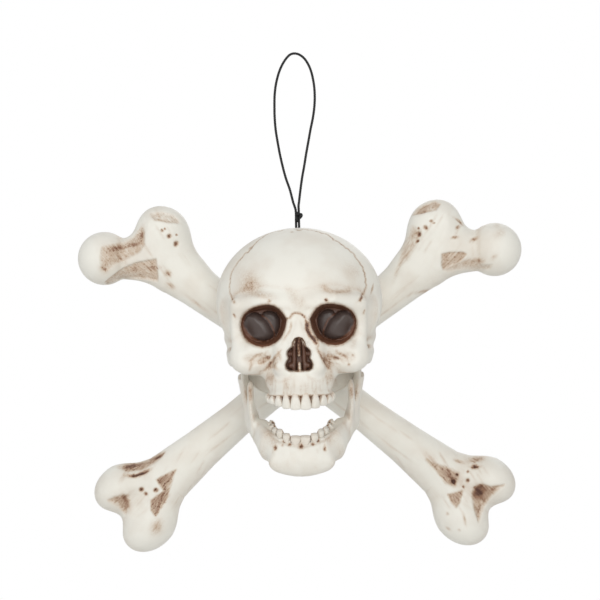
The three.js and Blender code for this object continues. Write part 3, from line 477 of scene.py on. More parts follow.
def sampled(field, lines):
    """Field values on the grid, worked out only where the surface may be."""
    shape = tuple(len(line) for line in lines)
    stops = [np.unique(np.append(np.arange(0, n, 4), n - 1)) for n in shape]
    rough = [line[stop] for line, stop in zip(lines, stops)]
    grid = np.meshgrid(*rough, indexing="ij")
    coarse = field(*[axis.ravel() for axis in grid]).reshape(grid[0].shape)
    steps = [np.diff(line).reshape([-1 if k == n else 1 for k in range(3)]) for n, line in enumerate(rough)]
    span = np.sqrt(sum(step**2 for step in steps))
    corners = [coarse[a : a + span.shape[0], b : b + span.shape[1], c : c + span.shape[2]]
               for a, b, c in CORNERS]
    least, lowest, highest = np.abs(corners).min(0), np.min(corners, 0), np.max(corners, 0)
    near = (least < span * 0.9) | ((lowest < 0) != (highest < 0))
    cells = []
    for stop, n in zip(stops, shape):
        index = np.arange(n)
        after = np.clip(np.searchsorted(stop, index, side="right") - 1, 0, len(stop) - 2)
        before = np.clip(np.searchsorted(stop, index, side="left") - 1, 0, len(stop) - 2)
        cells.append((after, before))
    values = coarse[np.ix_(*[pair[0] for pair in cells])].astype(np.float32)
    wanted = np.zeros(shape, bool)
    for a, b, c in CORNERS:
        wanted |= near[np.ix_(cells[0][a], cells[1][b], cells[2][c])]
    points = np.nonzero(wanted)
    found = np.empty(len(points[0]), np.float32)
    for start in range(0, len(found), AT_ONCE):
        part = slice(start, start + AT_ONCE)
        found[part] = field(*[line[index[part]] for line, index in zip(lines, points)])
    values[points] = found
    return values


def slope_of(field, points, probe=0.05):
    """A field's value at each point, and how it rises along each axis."""
    here = field(*points.T)
    ahead = [field(*(points + probe * step).T) - here for step in np.eye(3)]
    return here, np.stack(ahead, 1) / probe


def skin(field, lines):
    """Points and four-sided faces where the field is zero, pulled on to it."""
    values = sampled(field, lines)
    inside = values < 0
    cut = [inside[a : values.shape[0] - 1 + a, b : values.shape[1] - 1 + b, c : values.shape[2] - 1 + c]
           for a, b, c in CORNERS]
    count = np.sum(cut, 0)
    mixed = (count > 0) & (count < 8)
    cells = np.argwhere(mixed)
    number = np.full(mixed.shape, -1)
    number[mixed] = np.arange(len(cells))
    at = [values[cells[:, 0] + a, cells[:, 1] + b, cells[:, 2] + c] for a, b, c in CORNERS]
    total, hits = np.zeros((len(cells), 3)), np.zeros(len(cells))
    for m, n in EDGES:
        crossed = (at[m] < 0) != (at[n] < 0)
        t = np.where(crossed, at[m] / np.where(crossed, at[m] - at[n], 1), 0)
        place = np.array(CORNERS[m]) + np.outer(t, np.array(CORNERS[n]) - np.array(CORNERS[m]))
        total += place * crossed[:, None]
        hits += crossed
    share = total / hits[:, None]
    low = np.stack([line[cells[:, k]] for k, line in enumerate(lines)], 1)
    high = np.stack([line[cells[:, k] + 1] for k, line in enumerate(lines)], 1)
    points = low + (high - low) * share
    for _ in range(2):
        here, slope = slope_of(field, points)
        points = points - (here / np.maximum((slope**2).sum(1), 0.05))[:, None] * slope
        points = np.clip(points, low - 0.2 * (high - low), high + 0.2 * (high - low))
    faces = []
    for axis in range(3):
        one, two = [(1, 2), (2, 0), (0, 1)][axis]
        first = np.moveaxis(inside, (axis, one, two), (0, 1, 2))
        here, there = first[:-1, 1:-1, 1:-1], first[1:, 1:-1, 1:-1]
        for flip in (False, True):
            edge = np.argwhere((here & ~there) if not flip else (~here & there))
            ring = []
            for b, c in ((0, 0), (1, 0), (1, 1), (0, 1)):
                index = np.zeros((len(edge), 3), int)
                index[:, axis] = edge[:, 0]
                index[:, one] = edge[:, 1] + b
                index[:, two] = edge[:, 2] + c
                ring.append(number[tuple(index.T)])
            quad = np.stack(ring, 1)
            faces.append(quad[:, ::-1] if flip else quad)
    return points, np.concatenate(faces)


def jaw_field(x, y, z):
    """The jaw hung open, with its pivot eyes."""
    cy, cz = shut(y, z)
    value = closed_jaw(x, cy, cz)
    near = np.nonzero(np.maximum(np.abs(cy - HINGE[1]), np.abs(cz - HINGE[2])) < 15)[0]
    if not len(near):
        return value
    side, ey, ez = np.abs(x[near]), cy[near], cz[near]
    inner, outer = HINGE[0] - EYE_THICKNESS / 2, HINGE[0] + EYE_THICKNESS / 2
    square = np.maximum(np.abs(ey - HINGE[1]), np.abs(ez - HINGE[2])) - 12
    at = (0, 1, HINGE[1], 2, HINGE[2])
    kept = np.maximum(value[near], -np.maximum(square, side - inner))
    kept = np.maximum(kept, -np.maximum(square, outer - side))
    kept = np.minimum(kept, bar_field(side, ey, ez, inner, outer, at, EYE_RADIUS))
    value[near] = np.maximum(kept, -bar_field(side, ey, ez, 0, BEYOND, at, PIVOT_HOLE))
    return value


def point_normals(points, faces):
    """The way out at each point of a mesh of four-sided faces."""
    a, b, c, d = (points[faces[:, k]] for k in range(4))
    face = np.cross(c - a, d - b)
    normals = np.zeros_like(points)
    for k in range(4):
        np.add.at(normals, faces[:, k], face)
    return normals / np.maximum(np.linalg.norm(normals, axis=1), 1e-9)[:, None]


def eased(share):
    """A share from 0 to 1 with a soft start and end."""
    share = np.clip(share, 0, 1)
    return share * share * (3 - 2 * share)


class Relief:
    """Fine marks on a skin: how far each point moves out, and its wash, which on the face also holds painted
    shade under the upper jaw.
    """

    def __init__(self, field, points, faces):
        self.field, self.points, self.faces = field, points, faces
        self.normals = point_normals(points, faces)
        self.shift = np.zeros(len(points))
        self.wash = np.zeros(len(points))
        self.side = 1

    def hollows(self, field, reach, gain, most=1.0):
        """Wash lies where other surface stands close round a point."""
        _, slope = slope_of(field, self.points)
        steep = np.maximum(np.linalg.norm(slope, axis=1), 0.2)
        out = self.points + self.normals * reach
        shade = 1 - field(*out.T) / (reach * steep)
        self.wash += np.clip(shade * gain, 0, most)

    def on_skin(self, flat):
        """The nearest points of the skin under points given across and up."""
        flat = np.asarray(flat, float)
        reach = self.side * np.arange(-100, 75, 0.5)
        x, y = np.repeat(flat[:, 0], len(reach)), np.tile(reach, len(flat))
        z = np.repeat(flat[:, 1], len(reach))
        hit = self.field(x, y, z).reshape(len(flat), -1) < 0
        deep = np.where(hit.any(1), reach[hit.argmax(1)], np.nan)
        known = np.isfinite(deep)
        deep[~known] = np.mean(deep[known]) if known.any() else 0
        return np.column_stack([flat[:, 0], deep, flat[:, 1]])

    def line(self, flat, width, depth, wash=0.0, taper=True, spread=None):
        """A groove, or with a negative depth a ridge, along a line."""
        path = self.on_skin(flat)
        margin = 3 * width + 2
        least, most = path.min(0) - margin, path.max(0) + margin
        near = np.nonzero(((self.points > least) & (self.points < most)).all(1))[0]
        here = self.points[near]
        nearest, along = np.full(len(near), 1e9), np.zeros(len(near))
        lengths = np.append(0, np.cumsum(np.linalg.norm(np.diff(path, axis=0), axis=1)))
        for k, (a, b) in enumerate(zip(path, path[1:])):
            d = b - a
            t = np.clip((here - a) @ d / max(d @ d, 1e-9), 0, 1)
            gap = np.linalg.norm(here - a - t[:, None] * d, axis=1)
            closer = gap < nearest
            nearest = np.where(closer, gap, nearest)
            along = np.where(closer, lengths[k] + t * (lengths[k + 1] - lengths[k]), along)
        fade = 1.0
        if taper:
            ends = np.minimum(along, lengths[-1] - along) / max(lengths[-1] * 0.25, 1e-6)
            fade = np.clip(ends, 0.15, 1)
        shape = np.exp(-((nearest / width) ** 2)) * fade
        self.shift[near] -= depth * shape
        self.wash[near] += wash * np.exp(-((nearest / (spread or width * 1.2)) ** 2)) * fade

    def patch(self, flat, half, angle=0.0, wash=0.0, depth=0.0, power=1.0):
        """A soft oval of wash or relief, by its middle, half sizes and turn in degrees."""
        middle = self.on_skin([flat])[0]
        gap = self.points - middle
        cos, sin = math.cos(math.radians(angle)), math.sin(math.radians(angle))
        u = (gap[:, 0] * cos + gap[:, 2] * sin) / half[0]
        v = (-gap[:, 0] * sin + gap[:, 2] * cos) / half[1]
        w = gap[:, 1] / (max(half) * 1.5)
        shape = np.exp(-((u * u + v * v + w * w) ** power))
        self.wash += wash * shape
        self.shift -= depth * shape

    def recess(self, outline, depth, edge, wash=0.0, soft=None):
        """A sunk field from its flat outline, the width of its edge and that of its wash's."""
        near = np.nonzero(self.side * self.normals[:, 1] < -0.05)[0]
        here = self.points[near]
        gap = outline_distance(outline, here[:, 0], here[:, 2])
        self.shift[near] -= depth * eased(0.5 - gap / edge)
        self.wash[near] += wash * eased(0.5 - gap / (soft or edge))

    def apply(self):
        """Moves the points by their relief."""
        self.points = self.points + self.normals * self.shift[:, None]
        self.wash = np.clip(self.wash, 0, 2)


def new_piece(name, points, faces, marks=None):
    """A smooth mesh object from points in metres, with attributes on its points."""
    mesh = bpy.data.meshes.new(name)
    mesh.from_pydata(points.tolist(), [], faces.tolist() if hasattr(faces, "tolist") else faces)
    for key, values in (marks or {}).items():
        kind, slot = ("FLOAT_VECTOR", "vector") if np.ndim(values) == 2 else ("FLOAT", "value")
        layer = mesh.attributes.new(key, kind, "POINT")
        layer.data.foreach_set(slot, np.asarray(values, np.float32).ravel())
    mesh.polygons.foreach_set("use_smooth", [True] * len(mesh.polygons))
    mesh.update()
    piece = bpy.data.objects.new(name, mesh)
    bpy.context.scene.collection.objects.link(piece)
    return piece


def mesh_piece(name, points, faces, marks=None):
    """A mesh object from points in millimetres of the skull's frame."""
    return new_piece(name, (points + SHIFT) * MM, faces, marks)


def band_faces(base, levels, sides, closed=False):
    """Faces between rings of points. Unless the band is closed, each end gets a fan round a
    point: the two points come after the rings."""
    faces = []
    for i in range(levels if closed else levels - 1):
        here, there = base + i * sides, base + (i + 1) % levels * sides
        for k in range(sides):
            n = (k + 1) % sides
            faces.append((here + k, here + n, there + n, there + k))
    if not closed:
        first, last = base + levels * sides, base + (levels - 1) * sides
        for k in range(sides):
            n = (k + 1) % sides
            faces.append((first, base + n, base + k))
            faces.append((first + 1, last + k, last + n))
    return faces


def skin_marks(wash, points):
    """The attributes of plastic without the sockets' paint."""
    return {"wash": wash, "paint": 0 * wash, "lid": 0 * wash, "grain": points * MM}


# Finishes
# About how often a pattern repeats in a metre. The plastic's real grain is too fine to
# show, so it is drawn this coarse
HEAD_GRAIN, BONE_GRAIN, MOTTLE, CLOUD, DOTS = 900.0, 520.0, 170.0, 38.0, 800.0
ZINC_CRYSTALS, CORD_FUZZ = 2500.0, 3500.0
# How far the cord's ribs turn along a metre, in radians
CORD_RIBS = 2600.0


def add_node(tree, kind, inputs=None, **settings):
    """Adds a node: settings by name, inputs by socket as values or as links."""
    node = tree.nodes.new(kind)
    for key, value in settings.items():
        setattr(node, key, value)
    for key, value in (inputs or {}).items():
        if isinstance(value, bpy.types.NodeSocket):
            tree.links.new(value, node.inputs[key])
        else:
            node.inputs[key].default_value = value
    return node


def sums(tree, operation, first, second=0.5, clamp=False):
    """Two values or sockets put together by a sum."""
    inputs = {0: first, 1: second}
    return add_node(tree, "ShaderNodeMath", inputs, operation=operation, use_clamp=clamp).outputs[0]


def noise(tree, where, scale, detail, roughness=0.5):
    """An uneven pattern, by how often it repeats in a metre."""
    return add_node(tree, "ShaderNodeTexNoise", {
        "Vector": where, "Scale": scale, "Detail": detail, "Roughness": roughness}).outputs[0]


def spread_out(tree, value, start, end, low, high, kind="LINEAR"):
    """A value brought from one range to another, and kept within it."""
    return add_node(tree, "ShaderNodeMapRange", {
        "Value": value, "From Min": start, "From Max": end, "To Min": low,
        "To Max": high}, interpolation_type=kind).outputs[0]


def new_material(name):
    """A material without nodes, and its node tree."""
    material = bpy.data.materials.new(name)
    material.use_nodes = True
    material.node_tree.nodes.clear()
    return material, material.node_tree


def ramp_stops(node, stops):
    """Sets the positions and colours of a colour ramp."""
    ramp = node.color_ramp
    while len(ramp.elements) < len(stops):
        ramp.elements.new(0.5)
    for element, (position, colour) in zip(ramp.elements, stops):
        element.position = position
        element.color = (*colour, 1)


def bone_plastic(name, finish, grain_scale, stretch, slant, speckle):
    """Moulded PVC: satin ivory skin, brown wash wiped off the high places so that it
    stays in the hollows and between streaks, and glossy brown paint in the sockets."""
    material, tree = new_material(name)
    grain = add_node(tree, "ShaderNodeAttribute", attribute_name="grain").outputs["Vector"]
    wash = add_node(tree, "ShaderNodeAttribute", attribute_name="wash").outputs["Fac"]
    paint = add_node(tree, "ShaderNodeAttribute", attribute_name="paint").outputs["Fac"]
    lid = add_node(tree, "ShaderNodeAttribute", attribute_name="lid").outputs["Fac"]
    stretched = add_node(tree, "ShaderNodeMapping", {
        "Vector": grain, "Scale": (stretch, 1.0, 1.0), "Rotation": (0.0, slant, 0.0)},
        vector_type="TEXTURE").outputs[0]
    streaks = noise(tree, stretched, grain_scale, 4.0, 0.6)
    fine = noise(tree, stretched, grain_scale * 1.6, 2.0)
    mottle = noise(tree, grain, MOTTLE, 6.0, 0.62)
    cloud = noise(tree, grain, CLOUD, 3.0)
    dots = noise(tree, grain, DOTS, 1.0)

    # Where there is wash, it breaks up into streaks and dots; a trace of it clouds the rest
    speck = sums(tree, "ADD", sums(tree, "ADD", streaks, mottle), fine)
    speck = spread_out(tree, speck, 1.1, 1.9, -speckle, speckle)
    trace = spread_out(tree, cloud, 0.42, 0.7, 0.0, 0.1)
    dots = spread_out(tree, dots, 0.6, 0.7, 0.0, 0.3)
    where = sums(tree, "MINIMUM", sums(tree, "MULTIPLY", wash, 2.4), 1.0)
    # The wash attribute holds brown wash, and on the face also painted shade under the upper jaw.
    amount = sums(tree, "MULTIPLY", wash, finish.wash_strength)
    amount = sums(tree, "ADD", amount, sums(tree, "MULTIPLY", speck, where))
    amount = sums(tree, "ADD", amount, trace, True)
    amount = sums(tree, "ADD", amount, sums(tree, "MULTIPLY", dots, where), True)
    tone = add_node(tree, "ShaderNodeValToRGB", {"Fac": amount})
    ramp_stops(tone, [(0.0, finish.ivory), (0.14, finish.shaded_ivory), (0.42, finish.pale_wash),
                      (0.75, finish.wash), (1.0, finish.dark_wash)])

    # The sockets' paint ends in an uneven edge, and is glossier than the plastic
    socket_tone = add_node(tree, "ShaderNodeMix", {
        0: lid, 6: (*finish.socket_rim, 1), 7: (*finish.socket_floor, 1)}, data_type="RGBA").outputs[2]
    edge = sums(tree, "MULTIPLY", sums(tree, "SUBTRACT", mottle, 0.5), 0.9)
    coat = spread_out(tree, sums(tree, "ADD", paint, edge), 0.42, 0.6, 0.0, 1.0, "SMOOTHSTEP")
    colour = add_node(tree, "ShaderNodeMix", {
        0: coat, 6: tone.outputs[0], 7: socket_tone}, data_type="RGBA").outputs[2]
    rough = spread_out(tree, coat, 0.0, 1.0, 0.5, 0.36)
    height = sums(tree, "ADD", streaks, fine)
    bump = add_node(tree, "ShaderNodeBump", {
        "Height": height, "Strength": 0.22, "Distance": 0.3 * MM}).outputs[0]
    shader = add_node(tree, "ShaderNodeBsdfPrincipled", {
        "Base Color": colour, "Roughness": rough, "IOR": 1.5, "Specular IOR Level": 0.42,
        "Normal": bump}).outputs[0]
    add_node(tree, "ShaderNodeOutputMaterial", {"Surface": shader})
    return material


def zinc_steel(name):
    """Zinc-plated steel screws: bright metal with fine mottling of its roughness."""
    material, tree = new_material(name)
    where = add_node(tree, "ShaderNodeTexCoord").outputs["Object"]
    grain = noise(tree, where, ZINC_CRYSTALS, 3.0)
    rough = spread_out(tree, grain, 0.0, 1.0, 0.24, 0.46)
    bump = add_node(tree, "ShaderNodeBump", {
        "Height": grain, "Strength": 0.12, "Distance": 0.1 * MM}).outputs[0]
    shader = add_node(tree, "ShaderNodeBsdfPrincipled", {
        "Base Color": (*linear("#B9BBBD"), 1), "Metallic": 1.0, "Roughness": rough,
        "Normal": bump}).outputs[0]
    add_node(tree, "ShaderNodeOutputMaterial", {"Surface": shader})
    return material


def waxed_cord(name, colour):
    """Twisted polyester cord, waxed black: the strands show as fine slanting ribs, with painted shade in
    their grooves and a painted highlight on their crests.
    """
    material, tree = new_material(name)
    lay = add_node(tree, "ShaderNodeAttribute", attribute_name="lay").outputs["Vector"]
    parts = add_node(tree, "ShaderNodeSeparateXYZ", {"Vector": lay}).outputs
    turn = sums(tree, "MULTIPLY", parts["X"], 2.0)
    slant = sums(tree, "MULTIPLY", parts["Y"], CORD_RIBS)
    rib = sums(tree, "SINE", sums(tree, "ADD", turn, slant))
    where = add_node(tree, "ShaderNodeTexCoord").outputs["Object"]
    height = sums(tree, "ADD", rib, noise(tree, where, CORD_FUZZ, 4.0))
    bump = add_node(tree, "ShaderNodeBump", {
        "Height": height, "Strength": 0.5, "Distance": 0.2 * MM}).outputs[0]
    # Painted shade and highlight: the colour is darker in the ribs' grooves and lighter on their crests.
    shade = spread_out(tree, height, -0.6, 1.6, 0.0, 1.0)
    tone = add_node(tree, "ShaderNodeValToRGB", {"Fac": shade})
    ramp_stops(tone, [(0.0, [0.35 * c for c in colour]), (1.0, [1.5 * c for c in colour])])
    shader = add_node(tree, "ShaderNodeBsdfPrincipled", {
        "Base Color": tone.outputs[0], "Roughness": 0.62, "IOR": 1.45, "Normal": bump}).outputs[0]
    add_node(tree, "ShaderNodeOutputMaterial", {"Surface": shader})
    return material


def backdrop_paint(name):
    """Matt white studio paint that the camera, glass and metal see as plain white."""
    material, tree = new_material(name)
    path = add_node(tree, "ShaderNodeLightPath").outputs
    seen = sums(tree, "MAXIMUM", path["Is Camera Ray"], path["Is Glossy Ray"])
    seen = sums(tree, "MAXIMUM", seen, path["Is Transmission Ray"])
    matt = add_node(tree, "ShaderNodeBsdfDiffuse", {"Color": (*linear("#E9E8E6"), 1)}).outputs[0]
    white = add_node(tree, "ShaderNodeEmission", {
        "Color": (1, 1, 1, 1), "Strength": 1.0}).outputs[0]
    mixed = add_node(tree, "ShaderNodeMixShader", {0: seen, 1: matt, 2: white}).outputs[0]
    add_node(tree, "ShaderNodeOutputMaterial", {"Surface": mixed})
    return material


def finish_piece(piece, material, body, slot, *nodes):
    """Gives a piece its material, its body and the solids that it stands for. The slot is not used."""
    piece.data.materials.clear()
    piece.data.materials.append(material)
    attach(piece, body)
    if nodes:
        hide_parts(*nodes)


def finish_of(name):
    """The named material, made the first time that it is asked for."""
    finish = bpy.context.scene.skull_finish
    made = bpy.data.materials.get(name)
    if made:
        return made
    if name == "moulded_ivory_pvc_head":
        return bone_plastic(name, finish, HEAD_GRAIN, 1.0, 0.0, 0.36)
    if name == "moulded_ivory_pvc_bone":
        return bone_plastic(name, finish, BONE_GRAIN, 7.0, -0.2, 0.28)
    if name == "zinc_plated_steel":
        return zinc_steel(name)
    return waxed_cord(name, finish.cord)


# Head and jaw
def to_side(flat, hand):
    """A flat line of the right-hand side, or with hand -1 its mirror image on the left."""
    return [(hand * x, z) for x, z in flat]


# Marks of the face, across and up. The coronal suture and the seams of the nose bones
CORONAL_LEFT = [
    (-11, 94.5), (-16.5, 93.5), (-22.5, 92), (-30.5, 86.5), (-35, 80.5), (-41, 75.5), (-46, 69.5),
    (-50, 63.5), (-51.5, 59), (-52, 53), (-51.5, 47.5), (-50, 42.5), (-47.5, 38.5)]
CORONAL_RIGHT = [
    (-0.5, 94.5), (11.5, 94), (23, 90), (34, 81.5), (42, 75.5), (47, 67.5), (50.5, 60.5),
    (51.5, 51.5), (50.5, 46.5), (46, 38.5)]
NASAL_TOP = [
    (-8, 27), (-6, 27.5), (-4, 30), (-2, 31), (1.5, 30.5), (3.5, 29), (5, 27.5)]
NASAL_LEFT = [
    (-5, 26), (-5.5, 20), (-6.5, 17), (-9.5, 13), (-12.5, 8.5)]
NASAL_RIGHT = [
    (5, 27.5), (6, 23), (6, 18.5), (8.5, 14), (11.5, 10), (14, 6)]
NASAL_STAIN = [
    (5.5, 25.5), (8, 23), (8.5, 18.5), (10.5, 14.5), (14, 10.5), (14.5, 6), (11.5, 8.5),
    (7.5, 13.5), (6, 17.5)]
# Cheeks, left and right as seen: grooves, and fields that are sunk and washed
CHEEK_GROOVES = [
    [(-37, -6.5), (-36, -3.5), (-33.5, -1), (-30, 0.5), (-24, 1)],
    [(-13, 4), (-17.5, -1), (-21.5, -6.5), (-25, -10.5), (-29, -12.5)],
    [(26, 0.5), (30.5, 0), (34.5, -2.5), (36, -5), (36.5, -8)],
    [(11.5, 8), (14, 2.5), (16.5, -2), (19, -6), (22, -11), (24, -14)]]
CHEEK_LEAVES = [
    [(-31, -5.5), (-29, -2.5), (-24.5, -0.5), (-21, -1), (-22.5, -3.5), (-26.5, -6.5), (-30, -7)],
    [(20, -1), (23, 0), (27.5, -1.5), (30, -4), (27, -5), (22, -3.5)]]
CHEEK_FIELDS = [
    [(-13, 4), (-14.5, -1), (-16, -6.5), (-21, -10.5), (-29, -13), (-25, -10.5), (-22, -7),
      (-18, -1.5)],
    [(13.5, 4.5), (21, -1), (24, -6.5), (24, -13), (20.5, -11.5), (17.5, -6)]]


# Stains: middle across and up, half width and half height, turn in degrees, wash
BROW_STAINS = [
    (-36, 52, 7.5, 7.5, 30, 0.32), (-27, 45, 8.5, 2.4, -12, 0.3), (29, 46, 9.5, 2.2, -4, 0.26),
    (20, 49, 3.5, 2.2, -30, 0.2), (37, 46.6, 4, 2.6, 20, 0.22), (-40, 60, 6, 8, 60, 0.08),
    (42, 62, 6, 9, -60, 0.1), (-2, 41, 3, 7, 10, 0.12), (-6, 47, 3, 5, 30, 0.08),
    (3, 38, 2.2, 5, -10, 0.1)]
CHEEK_STAINS = [
    (-24, -2.2, 1.6, 1.0, 10, 0.5), (-27.5, -5.2, 1.6, 0.8, 40, 0.3), (27, -3, 2.0, 0.8, -20, 0.45),
    (-14.5, 0, 1.3, 4, 15, 0.35), (-18, -9, 3, 1.3, -30, 0.3), (20, -4, 2.4, 5, 30, 0.25),
    (36.9, -8.3, 0.9, 1.1, 0, 0.6), (40, -1.6, 0.8, 0.8, 0, 0.4), (27.5, 2.1, 1.4, 0.8, 0, 0.3),
    (-36.4, -9, 1.0, 3.0, -20, 0.3), (-40, 12, 2.2, 6, 10, 0.16), (41, 8, 2.2, 6, -10, 0.14),
    (-22, -17, 3.5, 4, 0, 0.22), (22, -18, 3.5, 4, 0, 0.22), (-24, -26, 2.5, 4, 20, 0.25),
    (24, -26, 2.5, 4, -20, 0.25)]
# Brown pits at the feet of the lower teeth, the middle one wider
GUM_PITS = [
    (-21.5, -55), (-17.2, -60.5), (-13, -64.6), (-8.9, -67), (-0.2, -68.4), (8.7, -67),
    (12.4, -64.4), (16.6, -60), (20.6, -54)]
# How far forward the face's relief reaches, so that it stays within the solid's depth
FACE_FRONT = -69.3


def wobble(flat, size, seed):
    """The same line, broken into small uneven steps as a moulded suture is."""
    chance = np.random.default_rng(seed)
    flat = np.array(flat, float)
    lengths = np.append(0, np.cumsum(np.hypot(*np.diff(flat, axis=0).T)))
    at = np.arange(0, lengths[-1], 2.2)
    line = np.column_stack([np.interp(at, lengths, flat[:, k]) for k in (0, 1)])
    return line + chance.normal(0, size, line.shape)


def mark_face(relief):
    """Sutures, small holes, creases and stains of the face, and painted shade on the surfaces that face down
    under the upper jaw.
    """
    chance = np.random.default_rng(21)
    relief.hollows(head_form, 2.5, 0.5, 0.35)
    relief.hollows(head_form, 8.0, 0.42, 0.3)
    relief.line(wobble(CORONAL_LEFT, 0.3, 1), 0.7, 0.45, 0.42, False, 0.8)
    relief.line(wobble(CORONAL_RIGHT, 0.3, 2), 0.7, 0.45, 0.52, False, 0.8)
    relief.line([(-49, 43), (-47.5, 40), (-46, 38.4)], 0.8, 0.35, 0.6)
    relief.line([(-48.9, 31.8), (-46.8, 28)], 0.8, 0.35, 0.5)
    relief.line([(57.3, 51.6), (56, 47), (54.4, 42.6)], 0.8, 0.35, 0.45)
    relief.line([(51, 47.7), (46.8, 40.4), (43.4, 37.4)], 0.8, 0.4, 0.6)
    relief.line([(49.7, 32.5), (48.3, 28.2)], 0.8, 0.3, 0.4)
    relief.patch((-4.1, 92.5), (1.2, 0.8), 0, 0.4, 0.3)
    relief.patch((-35.9, 81), (1.4, 0.9), 40, 0.5, 0.3)
    relief.line(NASAL_TOP, 0.7, 0.4, 0.5, False, 0.9)
    relief.line(NASAL_LEFT, 0.7, 0.35, 0.3, True, 0.9)
    relief.line(NASAL_RIGHT, 0.8, 0.45, 0.55, True, 1.2)
    relief.recess(NASAL_STAIN, 0.3, 2.0, 0.5, 2.4)
    relief.line([(-0.3, 12), (0.2, 6), (0, 1)], 1.4, 0, 0.5, False)
    relief.line([(-1.0, -6), (-0.8, -12)], 1.0, 0, 0.7, False)
    for x, z, across, up, turn, wash in BROW_STAINS:
        relief.patch((x, z), (across, up), turn, wash)
    relief.line([(18, 49.4), (23, 45.8), (29.5, 45.4), (34, 45.6)], 0.8, 0.3, 0.12)
    relief.patch((-20.8, 40.2), (1.1, 0.9), 0, 0.5, 0.5)
    relief.patch((21, 40), (1.2, 1.0), 0, 1.1, 1.0)
    for flat in CHEEK_GROOVES:
        relief.line(wobble(flat, 0.2, 5), 0.85, 0.6, 0.42, True, 1.0)
        relief.line([(x * 0.94, z + 1.6) for x, z in flat], 1.2, -0.45, 0)
    for outline in CHEEK_LEAVES:
        relief.recess(outline, 0.9, 1.3, 0.28, 1.8)
    for outline in CHEEK_FIELDS:
        relief.recess(outline, 0.45, 2.4, 0.2, 3.4)
    for k in range(16):
        hand = 1 if k % 2 else -1
        x, z = chance.uniform(15, 27), chance.uniform(-5, 4)
        middle, low = z - chance.uniform(2, 5), z - chance.uniform(4, 8)
        flat = to_side([(x, z), (x + 3, middle), (x + 8, low)], hand)
        relief.line(wobble(flat, 0.25, k), 0.7, 0.22, chance.uniform(0.04, 0.2), True, 0.8)
    for x, z, across, up, turn, wash in CHEEK_STAINS:
        relief.patch((x, z), (across, up), turn, wash)
    for hand in (1, -1):
        relief.line(to_side([(39.7, -14.2), (35, -14.8), (28.7, -14.6)], hand), 1.0, 0.2, 0.3)
        flat = to_side([(19.2, -15), (20.9, -21.7), (24.5, -25.6), (25.5, -28)], hand)
        relief.line(flat, 1.0, 0.6, 0.5)
        flat = to_side([(24, -13.5), (24.6, -19), (27, -23), (27.6, -27.5)], hand)
        relief.line(flat, 0.9, 0.5, 0.4)
    at = relief.points
    side = np.abs(at[:, 0])
    rim = outline_distance(SOCKET, side, at[:, 2])
    relief.wash += 0.4 * np.exp(-((rim / 1.1) ** 2)) * (at[:, 1] < -40)
    relief.shift += 0.8 * np.exp(-(((rim - 2.2) / 1.6) ** 2)) * (at[:, 1] < -40) * (rim > 0)
    front = (at[:, 1] < -36) & (relief.normals[:, 1] < 0.3)
    lower = 1.5 * np.clip(side / 22, 0, 1.1) ** 2
    relief.shift += 0.9 * np.exp(-(((at[:, 2] + 29.4) / 1.5) ** 2)) * front
    relief.shift += lower * np.clip(-relief.normals[:, 2], 0, 1) * (at[:, 2] < -28) * front
    relief.wash += 0.45 * np.exp(-(((at[:, 2] + 30.8) / 0.7) ** 2)) * front
    # Painted shade: surfaces that face down, low on the front of the upper jaw, get extra wash.
    under = np.clip(-relief.normals[:, 2] * 2 - 0.8, 0, 1) * (at[:, 2] < -29) * (at[:, 1] < -30)
    relief.wash += 0.8 * under
    for _ in range(46):
        x, top = chance.uniform(-24, 24), chance.uniform(-26, -13)
        depth, wash = chance.uniform(0, 0.14), chance.uniform(0.02, 0.16)
        relief.line([(x, top), (x * 1.02, (top - 30) / 2), (x * 1.04, -30)], 0.7, depth, wash)


def face_paint(points):
    """How much of the socket's dark paint lies on each point, and where its domed floor is, with a painted
    highlight along the floor's raised edge.
    """
    side, y, z = np.abs(points[:, 0]), points[:, 1], points[:, 2]
    front = y < -36
    inside = np.clip(0.5 - outline_distance(SOCKET, side, z) / 1.1, 0, 1)
    paint = inside * np.clip((y - socket_rim(side) - 0.2) / 1.2, 0, 1)
    dome = join(outline_distance(LID, side, z), outline_distance(INNER_LID, side, z), 4)
    crest = outline_distance(LID_EDGE, side, z, False)
    # Along the raised edge of the larger dome the floor paint gives way to the paler rim paint: a painted
    # highlight on the crest.
    lid = np.clip(0.5 - dome / 1.6, 0, 1) * np.clip((crest - 0.05) / 0.9, 0, 1) * np.clip((y + 60) / 6, 0, 1)
    nose = np.clip(-outline_distance(NOSTRILS, side, z) / 0.8, 0, 1) * np.clip((y + 64.5) / 3.5, 0, 1)
    return np.maximum(paint, nose) * front, np.where(nose < 0.02, lid, 0.35) * front


class SKULL_OT_face_shell(Operator):
    """Makes the face shell: brow, eye sockets, nose, cheeks and upper jaw, with its sutures and stains."""

    bl_idname = "skull.face_shell"
    bl_label = "Face shell"

    def execute(self, context):
        lines = (grid_line(-66.5, 1.2, -46, 0.84, 46, 1.2, 66.5),
                 grid_line(-80, 0.86, -44, 1.8, 10, 0.75, 15.1),
                 grid_line(-46, 1.0, -34, 0.84, 42, 1.2, 99))
        points, faces = skin(face_field, lines)
        relief = Relief(face_field, points, faces)
        paint, lid = face_paint(points)
        mark_face(relief)
        inside = hollow_side(points)
        relief.wash *= 1 - inside
        relief.shift *= (1 - inside) * np.clip((PARTING - 1 - points[:, 1]) / 2, 0, 1)
        lid_edge(relief)
        relief.apply()
        past = np.maximum(FACE_FRONT - relief.points[:, 1], 0)
        relief.points[:, 1] += 0.8 * past
        # The wash attribute holds the brown wash and, under the upper jaw, painted shade.
        marks = {"wash": relief.wash * (1 - 0.3 * paint), "paint": paint, "lid": lid, "grain": points * MM}
        piece = mesh_piece("face_shell_skin", relief.points, faces, marks)
        finish_piece(piece, finish_of("moulded_ivory_pvc_head"), "skull", "bone_plastic", "face_shell")
        return {"FINISHED"}


